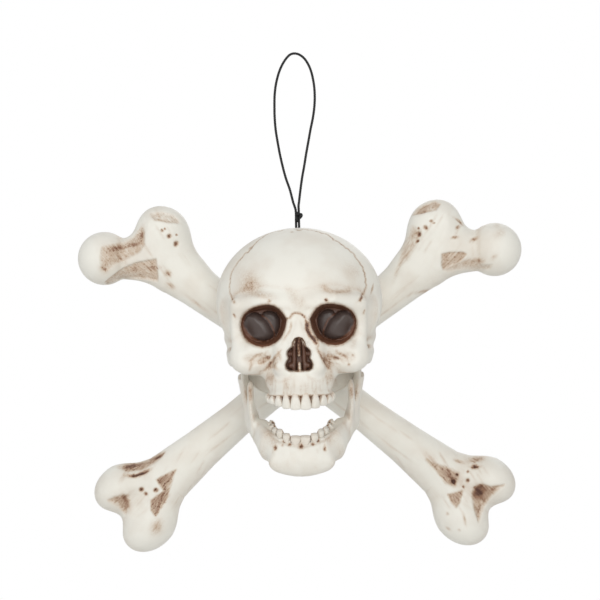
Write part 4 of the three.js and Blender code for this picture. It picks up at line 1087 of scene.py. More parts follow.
def hollow_side(points):
    """1 for points that lie well inside the head's own form, on the walls of its hollow."""
    value = head_form(*points.T, False)
    return np.clip((-value - 1.6) / 0.8, 0, 1) * (points[:, 1] > HOLLOW_FRONT - 2)


def lid_edge(relief):
    """The fine raised line round each domed floor. Its paler paint, a painted highlight, is set in
    face_paint.
    """
    for hand in (1, -1):
        relief.line(to_side(LID_EDGE, hand), 0.8, -0.9, 0, False)


class SKULL_OT_rear_shell(Operator):
    """Makes the rear shell, with the seats of its screws and of the crossed bones."""

    bl_idname = "skull.rear_shell"
    bl_label = "Rear shell"

    def execute(self, context):
        lines = (grid_line(-64, 1.3, 64), grid_line(13.2, 0.8, 18, 1.3, 54), grid_line(-43, 1.3, 99))
        points, faces = skin(back_field, lines)
        relief = Relief(back_field, points, faces)
        relief.hollows(head_form, 8.0, 0.6, 0.5)
        relief.side = -1
        relief.line(wobble([(0, 97), (1, 88), (-1, 76), (0, 64), (1, 54)], 0.4, 7), 1.2, 0.45, 0.5, False)
        for hand in (1, -1):
            flat = to_side([(0, 54), (12, 50), (24, 43), (34, 33), (42, 22)], hand)
            relief.line(wobble(flat, 0.45, 8 + hand), 1.2, 0.45, 0.5, False)
        relief.shift *= (1 - hollow_side(points)) * np.clip((points[:, 1] - PARTING - 1) / 2, 0, 1)
        relief.wash *= 1 - hollow_side(points)
        relief.apply()
        piece = mesh_piece("rear_shell_skin", relief.points, faces, skin_marks(relief.wash, points))
        finish_piece(piece, finish_of("moulded_ivory_pvc_head"), "skull", "bone_plastic", "rear_shell")
        return {"FINISHED"}


def mark_jaw(relief):
    """Gum line, small holes, soft mounds and stains of the lower jaw."""
    chance = np.random.default_rng(23)
    relief.hollows(open_jaw, 3.0, 0.3, 0.2)
    relief.hollows(open_jaw, 8.0, 0.25, 0.2)
    relief.patch((-19.6, -70), (1.1, 1.6), 0, 1.0, 1.1)
    relief.patch((-14.2, -68.1), (0.9, 0.8), 0, 0.5, 0.3)
    relief.patch((17.4, -71.6), (1.0, 1.2), 0, 1.0, 0.9)
    relief.patch((17.4, -69), (0.8, 1.6), 0, 0.3, 0.2)
    for hand in (1, -1):
        relief.patch((hand * 31.5, -48), (3, 5), hand * -20, 0.34, 0.2)
        relief.patch((hand * 38.6, -30), (1.6, 6), 0, 0.45, 0.1)
        relief.patch((hand * 24, -60), (4, 4.5), hand * 40, 0.16)
        relief.patch((hand * 20, -65), (3, 4), 0, 0.14)
        relief.patch((hand * 28, -76), (8, 9), 0, 0, -1.7 - 0.4 * hand)
        relief.patch((hand * 31, -68), (8, 9), 0, 0, -1.3)
        relief.patch((hand * 23, -86), (5, 5), 0, 0, 1.8)
        relief.patch((hand * 11, -80), (7, 5), 0, 0.0, -0.5)
    relief.line([(-0.6, -71), (-0.5, -79), (-0.4, -87)], 1.8, -0.5, 0)
    at = relief.points
    closed_y, closed_z = shut(at[:, 1], at[:, 2])
    from_hinge = np.hypot(at[:, 1] - HINGE[1], at[:, 2] - HINGE[2])
    relief.wash *= np.clip((from_hinge - EYE_RADIUS) / 14, 0.25, 1)
    gum = -50.6 + 3.4 * np.clip(np.abs(at[:, 0]) / 22, 0, 1.2) ** 2
    front = np.clip((-26 - closed_y) / 5, 0, 1)
    front *= np.clip((29 - np.abs(at[:, 0])) / 8, 0, 1) * np.clip(-relief.normals[:, 1] * 1.8 - 0.2, 0, 1)
    relief.shift -= 1.2 * eased((closed_z - gum) / 2.4) * front
    relief.wash += 0.06 * np.exp(-(((closed_z - gum - 0.9) / 0.8) ** 2)) * front
    for x, z in GUM_PITS:
        relief.patch((x, z), (1.2, 1.4) if abs(x) > 1 else (1.9, 2.2), 0, 0.95, 0.5)
    for _ in range(40):
        x, z = chance.uniform(-30, 30), chance.uniform(-86, -62)
        low = z - chance.uniform(4, 9)
        depth, wash = chance.uniform(0, 0.1), chance.uniform(0.0, 0.08)
        relief.line([(x, z), (x * 1.02, low)], 0.8, depth, wash)


class SKULL_OT_jaw(Operator):
    """Makes the lower jaw, hung open as at rest, with its pivot eyes."""

    bl_idname = "skull.jaw"
    bl_label = "Lower jaw"

    def execute(self, context):
        lines = (grid_line(-52, 0.85, 52), grid_line(-74, 0.85, -20, 1.1, 18), grid_line(-92, 0.85, 4))
        points, faces = skin(jaw_field, lines)
        relief = Relief(jaw_field, points, faces)
        mark_jaw(relief)
        relief.apply()
        piece = mesh_piece("jaw_skin", relief.points, faces, skin_marks(relief.wash, points))
        finish_piece(piece, finish_of("moulded_ivory_pvc_head"), "jaw", "bone_plastic", "jaw")
        return {"FINISHED"}


# Repeated pieces
def set_on_points_tree():
    """Stands copies of a piece on points, by their attributes turn and size."""
    name = "set_on_points"
    if name in bpy.data.node_groups:
        return bpy.data.node_groups[name]
    tree = bpy.data.node_groups.new(name, "GeometryNodeTree")
    made = {}
    for label, kind in (("Geometry", "Geometry"), ("Piece", "Object"), ("Finish", "Material"),
                        ("Unevenness", "Float"), ("Seed", "Int")):
        made[label] = tree.interface.new_socket(label, in_out="INPUT", socket_type="NodeSocket" + kind)
    made["Unevenness"].default_value, made["Seed"].default_value = 0.0, 1
    tree.interface.new_socket("Geometry", in_out="OUTPUT", socket_type="NodeSocketGeometry")
    given = add_node(tree, "NodeGroupInput").outputs
    turn = add_node(tree, "GeometryNodeInputNamedAttribute", {
        "Name": "turn"}, data_type="FLOAT_VECTOR").outputs[0]
    size = add_node(tree, "GeometryNodeInputNamedAttribute", {
        "Name": "size"}, data_type="FLOAT_VECTOR").outputs[0]
    least = add_node(tree, "ShaderNodeVectorMath", {
        0: (-1, -1, -1), 3: given["Unevenness"]}, operation="SCALE").outputs[0]
    most = add_node(tree, "ShaderNodeVectorMath", {
        0: (1, 1, 1), 3: given["Unevenness"]}, operation="SCALE").outputs[0]
    lean = add_node(tree, "FunctionNodeRandomValue", {
        0: least, 1: most, "Seed": given["Seed"]}, data_type="FLOAT_VECTOR").outputs[0]
    turn = add_node(tree, "ShaderNodeVectorMath", {0: turn, 1: lean}, operation="ADD").outputs[0]
    piece = add_node(tree, "GeometryNodeObjectInfo", {"Object": given["Piece"]}).outputs["Geometry"]
    copies = add_node(tree, "GeometryNodeInstanceOnPoints", {
        "Points": given["Geometry"], "Instance": piece, "Rotation": turn, "Scale": size}).outputs[0]
    copies = add_node(tree, "GeometryNodeRealizeInstances", {"Geometry": copies}).outputs[0]
    where = add_node(tree, "GeometryNodeInputPosition").outputs[0]
    copies = add_node(tree, "GeometryNodeStoreNamedAttribute", {
        "Geometry": copies, "Name": "grain", "Value": where}, data_type="FLOAT_VECTOR").outputs[0]
    copies = add_node(tree, "GeometryNodeSetMaterial", {
        "Geometry": copies, "Material": given["Finish"]}).outputs[0]
    add_node(tree, "NodeGroupOutput", {0: copies})
    return tree


def set_on_points(name, unit, rows, material, unevenness=0.0, seed=1):
    """One plain mesh of copies of a unit piece. Rows: place in mm, turn, size."""
    places = np.array([row[0] for row in rows], float)
    turns, sizes = (np.array([row[k] for row in rows], float) for k in (1, 2))
    carrier = mesh_piece(name + "_points", places, [], {"turn": turns, "size": sizes})
    tree = set_on_points_tree()
    modifier = carrier.modifiers.new("set_on_points", "NODES")
    modifier.node_group = tree
    values = {"Piece": unit, "Finish": material, "Unevenness": unevenness, "Seed": seed}
    for item in tree.interface.items_tree:
        if item.item_type == "SOCKET" and item.in_out == "INPUT" and item.name in values:
            modifier[item.identifier] = values[item.name]
    carrier.update_tag()
    bpy.context.view_layer.update()
    evaluated = carrier.evaluated_get(bpy.context.evaluated_depsgraph_get())
    mesh = bpy.data.meshes.new_from_object(evaluated)
    mesh.name = name
    piece = bpy.data.objects.new(name, mesh)
    bpy.context.scene.collection.objects.link(piece)
    for old in (carrier, unit):
        bpy.data.objects.remove(old)
    mesh.polygons.foreach_set("use_smooth", [True] * len(mesh.polygons))
    return piece


def rings_mesh(name, rings, marks=None):
    """A closed mesh from rings of points, with a point at each end, in unit sizes."""
    rings = np.array(rings, float)
    points = np.vstack([rings.reshape(-1, 3), rings[0].mean(0), rings[-1].mean(0)])
    marks = {key: np.append(np.ravel(values), [values[0][0], values[-1][0]])
             for key, values in (marks or {}).items()}
    return new_piece(name, points, band_faces(0, *rings.shape[:2]), marks)


def tooth_unit(name, neck, round_tip, wall_rise, wall_top):
    """A tooth of unit width, thickness and height, its root below zero, facing -Y. Behind its
    narrow neck stands the brown wall of the row, which shows between one tooth and the next."""
    heights = np.array([-0.42, -0.2, 0, 0.08, 0.18, 0.3, 0.45, 0.6, 0.74, 0.85, 0.93, 0.975, 1.0])
    fronts = np.interp(heights, [-0.42, 0, 0.2, 0.5, 0.8, 0.93, 0.975, 1.0],
                       [neck * 0.75, neck, 0.34 + neck * 0.74, 0.99, 1.05, 1.03, 0.96, 0.84 - round_tip])
    walls = np.interp(heights, [-0.42, 0.65, 0.9, 0.975, 1.0],
                      [1.12, 1.1, 0.26 + 0.74 * wall_top, 0.18 + 0.82 * wall_top, wall_top])
    thick = np.interp(heights, [-0.42, 0, 0.2, 0.6, 0.9, 1.0], [0.4, 0.9, 1.0, 0.88, 0.66, 0.36 + round_tip])
    turns = np.linspace(0, 2 * math.pi, 36, endpoint=False)
    c, s = np.cos(turns), np.sin(turns)
    behind = s > 0.12
    rings, wash = [], []
    for height, front, wall, depth in zip(heights, fronts, walls, thick):
        x = np.sign(c) * np.abs(c) ** 0.6 * np.where(behind, wall, front) / 2
        y = np.sign(s) * np.abs(s) ** 0.85 * depth / 2
        ribs = 0.03 * np.cos(x / front * 2 * math.pi * 1.5) * (y < -0.1) * np.clip(height, 0, 1)
        z = height + 0.025 * np.cos(x * 5) * (height > 0.9) + wall_rise * behind * np.clip(height, 0, 1)
        rings.append(np.column_stack([x, y - ribs, z]))
        root = np.clip((0.12 - height) / 0.3, 0, 1)
        side = np.clip((np.abs(x) / front * 2 - 0.86) / 0.14, 0, 1) * np.clip(1.1 - height, 0, 1)
        wall_wash = 0.95 - (0.35 + 2 * wall_rise) * np.clip(height, 0, 1) ** 3
        wall_wash = wall_wash * (1 - 0.85 * np.clip((s - 0.45) / 0.25, 0, 1))
        wash.append(np.where(behind, wall_wash, 0.03 + 0.14 * root + 0.3 * side))
    return rings_mesh(name, rings, {"wash": wash, "paint": 0 * np.array(wash), "lid": 0 * np.array(wash)})


# Teeth from the middle to the side, left and right as seen: middle across, fore and aft,
# and up; turn to the side in degrees; width, thickness and height
UPPER_TEETH = [
    (4.2, -65.2, -31.2, 5, 7.6, 5.2, 9.5), (11.2, -62.4, -31.4, 24, 6.9, 5.0, 8.5),
    (16.8, -57.6, -32.0, 44, 6.9, 5.2, 6.4), (20.9, -51.5, -32.4, 62, 6.9, 5.6, 4.9),
    (22.9, -44.6, -32.4, 80, 7.2, 6.2, 4.2), (23.2, -37, -31, 86, 7.6, 6.6, 4.6)]
UPPER_LEFT = [
    (-3.4, -65.2, -31.2, -5, 7.6, 5.2, 9.4), (-10.1, -63, -31.4, -20, 6.5, 5.0, 8.4),
    (-15.6, -58.8, -32.0, -38, 6.7, 5.2, 6.4), (-20.2, -52.8, -32.4, -58, 6.9, 5.5, 4.7),
    (-22.6, -46.2, -32.4, -76, 7.0, 6.1, 4.2), (-23.2, -39, -31, -86, 7.6, 6.6, 4.7)]
LOWER_TEETH = [
    (3.0, -64.8, -49.9, 3, 7.2, 4.8, 6.3), (9.3, -61.6, -49.7, 24, 5.8, 4.6, 6.6),
    (13.7, -56.2, -49.3, 44, 5.6, 4.8, 7.0), (17.4, -49.2, -48.6, 60, 6.2, 5.4, 5.8),
    (20.6, -41.2, -47.6, 74, 6.8, 6.0, 4.4), (22.6, -33.2, -46.4, 80, 7.2, 6.2, 3.4)]
LOWER_LEFT = [
    (-4.2, -64.8, -49.9, -3, 7.1, 4.8, 6.3), (-10.4, -61, -49.7, -26, 5.8, 4.6, 6.6),
    (-15.0, -55.2, -49.3, -44, 6.0, 4.8, 7.2), (-18.9, -47.8, -48.6, -60, 6.4, 5.4, 5.4),
    (-21.5, -40, -47.4, -74, 6.8, 6.0, 4.2), (-23, -32.4, -46.4, -80, 7.2, 6.2, 3.2)]


class SKULL_OT_teeth(Operator):
    """Stands the two rows of teeth in the gums by Geometry Nodes, the lower row on the open jaw."""

    bl_idname = "skull.teeth"
    bl_label = "Teeth"

    def execute(self, context):
        plastic = finish_of("moulded_ivory_pvc_head")
        rows = [((x, y, z), (0, math.pi, math.radians(turn)), (w * MM, t * MM, h * MM))
                for x, y, z, turn, w, t, h in UPPER_TEETH + UPPER_LEFT]
        unit = tooth_unit("upper_tooth", 0.66, 0.0, 0.0, 0.72)
        upper = set_on_points("upper_teeth", unit, rows, plastic, 0.035, 3)
        finish_piece(upper, plastic, "skull", "bone_plastic")
        rows = [((x, *shut(y, z, -JAW_OPENING)), (JAW_OPENING, 0, math.radians(turn)),
                 (w * MM, t * MM, h * MM)) for x, y, z, turn, w, t, h in LOWER_TEETH + LOWER_LEFT]
        unit = tooth_unit("lower_tooth", 0.42, 0.03, 0.22, 1.06)
        lower = set_on_points("lower_teeth", unit, rows, plastic, 0.035, 5)
        finish_piece(lower, plastic, "jaw", "bone_plastic")
        return {"FINISHED"}


def screw_unit(name, shank, length, head, height):
    """A pan-head screw along +Z with rolled thread and a cross recess, head below zero."""
    sides, turns = 40, np.linspace(0, 2 * math.pi, 40, endpoint=False)
    rings = []
    profile = [(0.0, length), (0.25 * shank, length - 0.25 * shank)]
    crest = np.arange(length - shank / 2, max(length * 0.25, 1.0), -0.5)
    profile += [(shank / 2 - 0.3 * (k % 2), z) for k, z in enumerate(crest)]
    profile += [(shank / 2, crest[-1] - 0.5), (shank / 2, 0.0), (head / 2 - 0.15, 0.0), (head / 2, -0.2)]
    for bend in (0.35, 0.55, 0.72, 0.86):
        profile.append((head / 2 * math.cos(bend * 1.2) ** 0.6, -height * math.sin(bend * 1.55) ** 0.9))
    for radius, z in profile[1:]:
        rings.append(np.column_stack([radius * np.cos(turns), radius * np.sin(turns), np.full(sides, z)]))
    for share in np.linspace(0.62, 0.04, 10):
        radius = head / 2 * share
        x, y = radius * np.cos(turns), radius * np.sin(turns)
        slot, reach = head * 0.075, head * 0.27
        wide = np.maximum(np.abs(x) - reach, np.abs(y) - slot)
        tall = np.maximum(np.abs(y) - reach, np.abs(x) - slot)
        arm = np.minimum(wide, tall)
        sunk = np.clip(0.5 - arm / 0.3, 0, 1) * height * (0.75 - 0.5 * radius / reach)
        rings.append(np.column_stack([x, y, -height + np.maximum(sunk, 0)]))
    return rings_mesh(name, [ring * MM for ring in rings])


class SKULL_OT_screws(Operator):
    """Sets the pivot, shell and bone screws on their seats by Geometry Nodes."""

    bl_idname = "skull.screws"
    bl_label = "Screws"

    def execute(self, context):
        steel = finish_of("zinc_plated_steel")
        seat = HINGE[0] + EYE_THICKNESS / 2 + SEAM
        inward = [((seat * hand, HINGE[1], HINGE[2]), (0.3 * hand, -hand * math.pi / 2, 0), (1, 1, 1))
                  for hand in (1, -1)]
        forward = math.pi / 2
        shells = [((x, SHELL_SEAT + SEAM, z), (forward, 0, 0), (1, 1, 1)) for x, z in POSTS]
        bones = [((0, BONE_SEAT + SEAM, z), (forward, 0, 0), (1, 1, 1)) for z in BONE_PINS]
        # Sizes: thickness of the shank, length, width of the head and its height
        groups = (
            ("jaw_screws", (4, 16.5, PIVOT_HEAD, PIVOT_HEAD_HEIGHT), inward,
             ("jaw_screw_right", "jaw_screw_left")),
            ("shell_screws", (3, 16, 6, 2.2), shells, tuple(f"shell_screw_{n}" for n in (1, 2, 3, 4))),
            ("bone_screws", (4, 42, 9, 2.6), bones, ("bone_screw_1", "bone_screw_2")),
        )
        for name, sizes, rows, nodes in groups:
            piece = set_on_points(name, screw_unit(name + "_unit", *sizes), rows, steel)
            finish_piece(piece, steel, "skull", "screw_steel", *nodes)
        return {"FINISHED"}


# Crossed bones
# Marks of each bone's front, by distance along it and across it. Fields have an outline, a
# depth, the width of their edge, a wash and the width of its edge; pits two half sizes and
# a depth; stains two half sizes, a turn and a wash; grooves a line, a width, a depth and a wash
FRONT_FIELDS = [
    ([(147, 37), (154, 38.5), (162, 37), (168.5, 34), (169.5, 29.5), (163.5, 28), (156, 32)], 1.3,
      1.6, 0.34, 2.2),
    ([(144.5, -2), (150.5, -5), (159, -12), (160, -15), (153.5, -16.5), (144.5, -14.5),
      (137.5, -13), (138.5, -9)], 1.6, 1.3, 0.34, 1.6),
    ([(137.5, -13), (146.5, -15), (159.5, -19.5), (163.5, -29.5), (170, -34.5), (166.5, -36),
      (158.5, -30.5), (149.5, -21), (139.5, -16)], 0.8, 2.5, 0.2, 3.4),
    ([(113, 12.5), (122, 20), (128, 23), (141, 30), (143, 24), (136.5, 18), (121, 12)], 0.4, 4,
      0.26, 5),
    ([(-167, 32), (-158.5, 28), (-148, 22), (-136, 19), (-130, 17), (-135, 15.5), (-143, 16),
      (-153, 18), (-162, 23.5)], 0.8, 3, 0.42, 3.2),
    ([(-148.5, 4.5), (-136, 2), (-130.5, 0.5), (-136.5, -3), (-145, -8.5), (-154, -14.5),
      (-167, -18), (-167, -12), (-162.5, -5.5), (-149.5, -6.5)], 1.0, 2.4, 0.58, 2.4),
    ([(-183, 15), (-176, 11.5), (-174, 8), (-183, -0.5), (-185.5, -1), (-185.5, 7.5),
      (-188.5, 16)], 1.8, 4, 0.42, 5)]
FRONT_PITS = [
    (154.7, 23.9, 1.3, 1.3, 1.1), (155.4, 21.1, 0.9, 0.9, 0.7), (147.9, 22.6, 1.6, 2.2, 1.3),
    (143.4, 25.9, 1.0, 1.0, 0.7), (140.6, 22, 2.0, 2.6, 1.4), (136.4, 18.2, 1.6, 1.2, 0.7),
    (-162.6, 5.8, 2.0, 2.0, 1.5), (-154, -1.9, 2.0, 2.0, 1.5), (-162.1, 0.9, 1.4, 1.8, 1.0)]
FRONT_STAINS = [
    (163.4, -25, 4.5, 2.4, -35, 0.4), (161, 1.5, 2.5, 1.1, -30, 0.6),
    (171.8, -9.5, 3, 1.3, -10, 0.55), (168.3, 6.4, 2, 1.2, 0, 0.65), (154, 34, 5, 2, -20, 0.2),
    (110, 11, 10, 1.4, 30, 0.18), (104, -11, 3, 1, 0, 0.2), (114, -16, 6, 1.2, -30, 0.32),
    (191, -19, 5, 3, 0, 0.14), (175, -30.6, 3, 1.5, 0, 0.25), (194, -13, 4, 2, 0, 0.12),
    (-158, 26.3, 6, 1.6, -35, 0.42), (-137, 18, 6, 1.4, -12, 0.35), (-172, -25, 6, 4, 30, 0.38),
    (-178, 6, 2.2, 7, -20, 0.3)]
FRONT_GROOVES = [
    ([(-165.5, 22.5), (-160, 18), (-153.5, 15), (-146.5, 13.5)], 1.3, 1.0, 1.0),
    ([(170.5, 15), (173, 7), (178.5, -1.5), (186, -7.5)], 1.1, 0.6, 0.6)]
REAR_FIELDS = [
    ([(172, 25), (168, 23.5), (158, 27.5), (149, 32.5), (150, 35), (157, 35), (165, 31.5)], 1.2,
      1.4, 0.2, 2.4),
    ([(186, -20), (183, -15.5), (176, -8), (172, 1), (170.5, 11), (166, 10), (160, 2), (159.5, -5),
      (163.5, -13), (168, -21.5), (172, -34), (175, -34.5), (182, -27)], 1.0, 2.4, 0.26, 3.4),
    ([(168, -42), (166, -35), (162.5, -23), (157, -13.5), (150, -6), (145.5, -1), (136, -11.5),
      (134, -15.5), (143.5, -20), (153, -27), (161.5, -35.5), (165.5, -43)], 1.8, 1.3, 0.27, 2.0),
    ([(-125, 1), (-136.5, 3.5), (-145.5, 7), (-152.5, 7.5), (-156.5, -3), (-149, -5),
      (-141.5, -3)], 1.1, 2.6, 0.48, 4),
    ([(-155.5, -11.5), (-163.5, -1.5), (-167, -10.5), (-167, -15.5), (-161.5, -14.5)], 1.1, 2.2,
      0.5, 2.6),
    ([(-169, 6), (-172, 12), (-179, 14.5), (-187, 22.5), (-185, 15), (-184, 6), (-185, -1),
      (-186.5, -7), (-188.5, -13.5), (-179, -7), (-172.5, -0.5)], 2.0, 3.2, 0.46, 3.2)]
REAR_PITS = [
    (155.3, 20, 1.3, 1.3, 1.1), (154.4, 22.4, 0.9, 0.9, 0.6), (148.1, 19.7, 1.8, 2.0, 1.3),
    (144.3, 24, 0.9, 0.9, 0.6), (140.2, 18.2, 2.0, 2.6, 1.4), (-153.2, -0.3, 1.9, 1.9, 1.4),
    (-161.6, 7.4, 1.5, 1.8, 1.2), (-162.1, 1.2, 1.2, 1.0, 0.8), (-157.5, 13, 1.0, 1.2, 0.7),
    (-152.2, 6.1, 1.2, 1.0, 0.6)]
REAR_STAINS = [
    (131, -5, 2.6, 2.2, 0, 0.5), (123.6, -11.5, 3.5, 2.2, 0, 0.28), (98, -10.5, 9, 1.4, 0, 0.2),
    (168, 8, 2.2, 5, -25, 0.4), (177, -14, 7, 1.8, -50, 0.4), (168, -3, 5, 1.6, -50, 0.35),
    (174, -33, 4, 3, 0, 0.25), (142, -8, 1.6, 6, 45, 0.25), (-174, 5, 4.2, 4.0, 0, 0.6),
    (-155, 3, 9, 5, 10, 0.2), (-158, 25, 7, 2.2, -50, 0.42), (-147, 15, 4, 1.2, -20, 0.35),
    (-178, -19, 4, 1.0, 40, 0.35), (-164.6, -23.7, 1.4, 1.0, 0, 0.4), (-172.6, -33, 2, 1, 0, 0.3),
    (-179.7, -28.4, 1.2, 1, 0, 0.3), (-128, 3, 8, 3, 10, 0.2)]
REAR_GROOVES = [
    ([(-157, 17), (-160, 19.5), (-163, 22)], 1.5, 1.0, 1.0),
    ([(171, 23.5), (165.5, 23.5), (156.5, 28), (147, 33.5)], 0.9, 0.4, 0.3)]
# The raised edge of the flat front of each upper end
PLATEAU_EDGE = [
    (168, 20), (163, 12), (157, 7), (149, 3.5), (143, 1), (138, -4), (133, -10), (129, -16)]


def mark_bone(relief, fields, pits, stains, grooves, seed):
    """Sunk fields, pits, stains and fine worn streaks, on the front and more freely behind."""
    chance = np.random.default_rng(seed)
    relief.hollows(bone_field, 5.0, 0.5, 0.3)
    relief.hollows(bone_field, 12.0, 0.3, 0.2)
    for side in (1, -1):
        relief.side = side
        relief.line(PLATEAU_EDGE, 3.0, -0.6, 0, False)
        for outline, depth, edge, wash, soft in fields if side > 0 else fields[:3]:
            relief.recess(outline, depth, edge, wash, soft)
        for along, across, half_along, half_across, depth in pits if side > 0 else pits[1:4]:
            relief.patch((along, across), (half_along * 0.95, half_across * 0.85), 0, 0.78, depth, 1.5)
        for along, across, half_along, half_across, turn, wash in stains:
            relief.patch((along, across), (half_along, half_across), turn, wash, 0.1)
        for line, width, depth, wash in grooves if side > 0 else []:
            relief.line(line, width, depth, wash)
        for _ in range(16):
            start, length = chance.uniform(-125, 90), chance.uniform(14, 40)
            across = chance.uniform(-11, 11)
            line = [(start + length * t, across + chance.normal(0, 0.4)) for t in (0, 0.3, 0.6, 1)]
            relief.line(line, 0.8, chance.uniform(0.0, 0.12), chance.uniform(0.02, 0.12))
        for end in (1, -1):
            for _ in range(24):
                start, across = end * chance.uniform(118, 180), chance.uniform(-24, 26)
                line = [(start + 14 * t, across + 5 * t) for t in (0, 0.5, 1)]
                relief.line(line, 0.8, chance.uniform(-0.12, 0.16), chance.uniform(0.0, 0.14))


class SKULL_OT_bones(Operator):
    """Makes the two crossed bones, half lapped, with their worn ends and streaked shafts."""

    bl_idname = "skull.bones"
    bl_label = "Crossed bones"

    def execute(self, context):
        lines = (grid_line(-213, 0.85, -120, 1.9, 110, 0.85, 213), grid_line(-23, 0.95, 23),
                 grid_line(-53, 0.85, 52))
        cos, sin = math.cos(BONE_ANGLE), math.sin(BONE_ANGLE)
        kinds = (("bone_front", True, 1, (FRONT_FIELDS, FRONT_PITS, FRONT_STAINS, FRONT_GROOVES, 11)),
                 ("bone_rear", False, -1, (REAR_FIELDS, REAR_PITS, REAR_STAINS, REAR_GROOVES, 12)))
        for node, front, hand, marks in kinds:
            field = crossed_bone(front)
            points, faces = skin(field, lines)
            relief = Relief(field, points, faces)
            mark_bone(relief, *marks)
            relief.shift *= np.clip((np.abs(points[:, 0]) - 22) / 6, 0, 1)
            relief.apply()
            along, deep, across = relief.points.T
            turned = np.column_stack([hand * (along * cos - across * sin), deep + BONE_BACK,
                                      along * sin + across * cos + BONE_CROSS])
            faces = faces if hand > 0 else faces[:, ::-1]
            piece = mesh_piece(node + "_skin", turned, faces, skin_marks(relief.wash, points))
            finish_piece(piece, finish_of("moulded_ivory_pvc_bone"), "skull", "bone_plastic", node)
        return {"FINISHED"}


# Cord
# The cord's route up the left, over its top and down the right: across, and up from the crown
CORD_ROUTE = [
    (-1.15, -5.1), (-1.15, 4), (-1.15, 13.4), (-2.1, 17.5), (-3.2, 21), (-5.4, 30.3), (-8.4, 39.6),
    (-10.7, 49), (-12.6, 58.3), (-14.1, 67.6), (-15.4, 77), (-16, 86.3), (-16, 95.6), (-15.6, 105),
    (-14.2, 114.2), (-11.4, 123.5), (-7.6, 130.8), (-3.4, 135.6), (0.8, 136.8), (5.4, 135.2),
    (9.6, 130.8), (13, 123.5), (15, 114.2), (15.7, 105), (15.3, 95.6), (13.9, 86.3), (11.8, 77),
    (9.9, 67.6), (8, 58.3), (6.3, 49), (4.4, 39.6), (2.9, 30.3), (1.6, 21), (1.1, 17.5),
    (1.15, 13.4), (1.15, 4), (1.15, -5.1)]


def smooth_line(points, count):
    """Points evenly spread along a smooth curve through the given ones."""
    points = np.array(points, float)
    padded = np.vstack([2 * points[0] - points[1], points, 2 * points[-1] - points[-2]])
    fine = []
    for a, b, c, d in zip(padded, padded[1:], padded[2:], padded[3:]):
        t = np.linspace(0, 1, 24, endpoint=False)[:, None]
        bend = (2 * a - 5 * b + 4 * c - d) * t**2 + (3 * b - a - 3 * c + d) * t**3
        fine.append(0.5 * (2 * b + (c - a) * t + bend))
    fine = np.vstack(fine + [points[-1:]])
    lengths = np.append(0, np.cumsum(np.linalg.norm(np.diff(fine, axis=0), axis=1)))
    at = np.linspace(0, lengths[-1], count)
    return np.column_stack([np.interp(at, lengths, fine[:, k]) for k in range(3)]), lengths[-1]


def tube(line, radius, sides=18, closed=False, pitch=5.2):
    """Rings of a three-strand twisted cord along a line, and how far round and along each point is."""
    ahead = np.roll(line, -1, 0) - np.roll(line, 1, 0) if closed else np.gradient(line, axis=0)
    ahead /= np.linalg.norm(ahead, axis=1)[:, None]
    up = np.array((0.0, 1.0, 0.0)) if abs(ahead[0][1]) < 0.9 else np.array((1.0, 0.0, 0.0))
    sides_of, frames = np.linspace(0, 2 * math.pi, sides, endpoint=False), []
    for heading in ahead:
        up = up - heading * (up @ heading)
        up /= np.linalg.norm(up)
        frames.append((up, np.cross(heading, up)))
    run = np.append(0, np.cumsum(np.linalg.norm(np.diff(line, axis=0), axis=1)))
    rings, lay = [], []
    for place, (one, two), far in zip(line, frames, run):
        swell = radius * (0.945 + 0.055 * np.cos(3 * (sides_of - 2 * math.pi * far / pitch)))
        ring = np.outer(swell * np.cos(sides_of), one) + np.outer(swell * np.sin(sides_of), two)
        rings.append(place + ring)
        lay.append(np.column_stack([sides_of, np.full(sides, far * MM), np.zeros(sides)]))
    return np.array(rings), np.array(lay)


def tube_piece(name, lines, radius, closed=False, sides=18):
    """One mesh of one or more cord tubes."""
    points, faces, lay = [], [], []
    for line in lines:
        rings, layers = tube(line, radius, sides, closed)
        faces += band_faces(sum(len(part) for part in points), len(line), sides, closed)
        points.append(rings.reshape(-1, 3))
        lay.append(layers.reshape(-1, 3))
        if not closed:
            points.append(np.array((rings[0].mean(0), rings[-1].mean(0))))
            lay.append(np.zeros((2, 3)))
    return mesh_piece(name, np.vstack(points), faces, {"lay": np.vstack(lay)})


def knot_line(middle, half_width, half_depth, half_height, lean, phase=0.0):
    """An overhand knot's closed run, which crosses itself in front and behind."""
    t = np.linspace(0, 2 * math.pi, 96, endpoint=False) + phase
    x = half_width * (np.sin(t) + 2 * np.sin(2 * t)) / 2.76
    z = half_height * ((np.cos(t) - 2 * np.cos(2 * t)) / 3 + 0.15) / 0.85
    y = -half_depth * np.sin(3 * t)
    cos, sin = math.cos(lean), math.sin(lean)
    return np.array(middle) + np.column_stack([x * cos + z * sin, y, z * cos - x * sin])


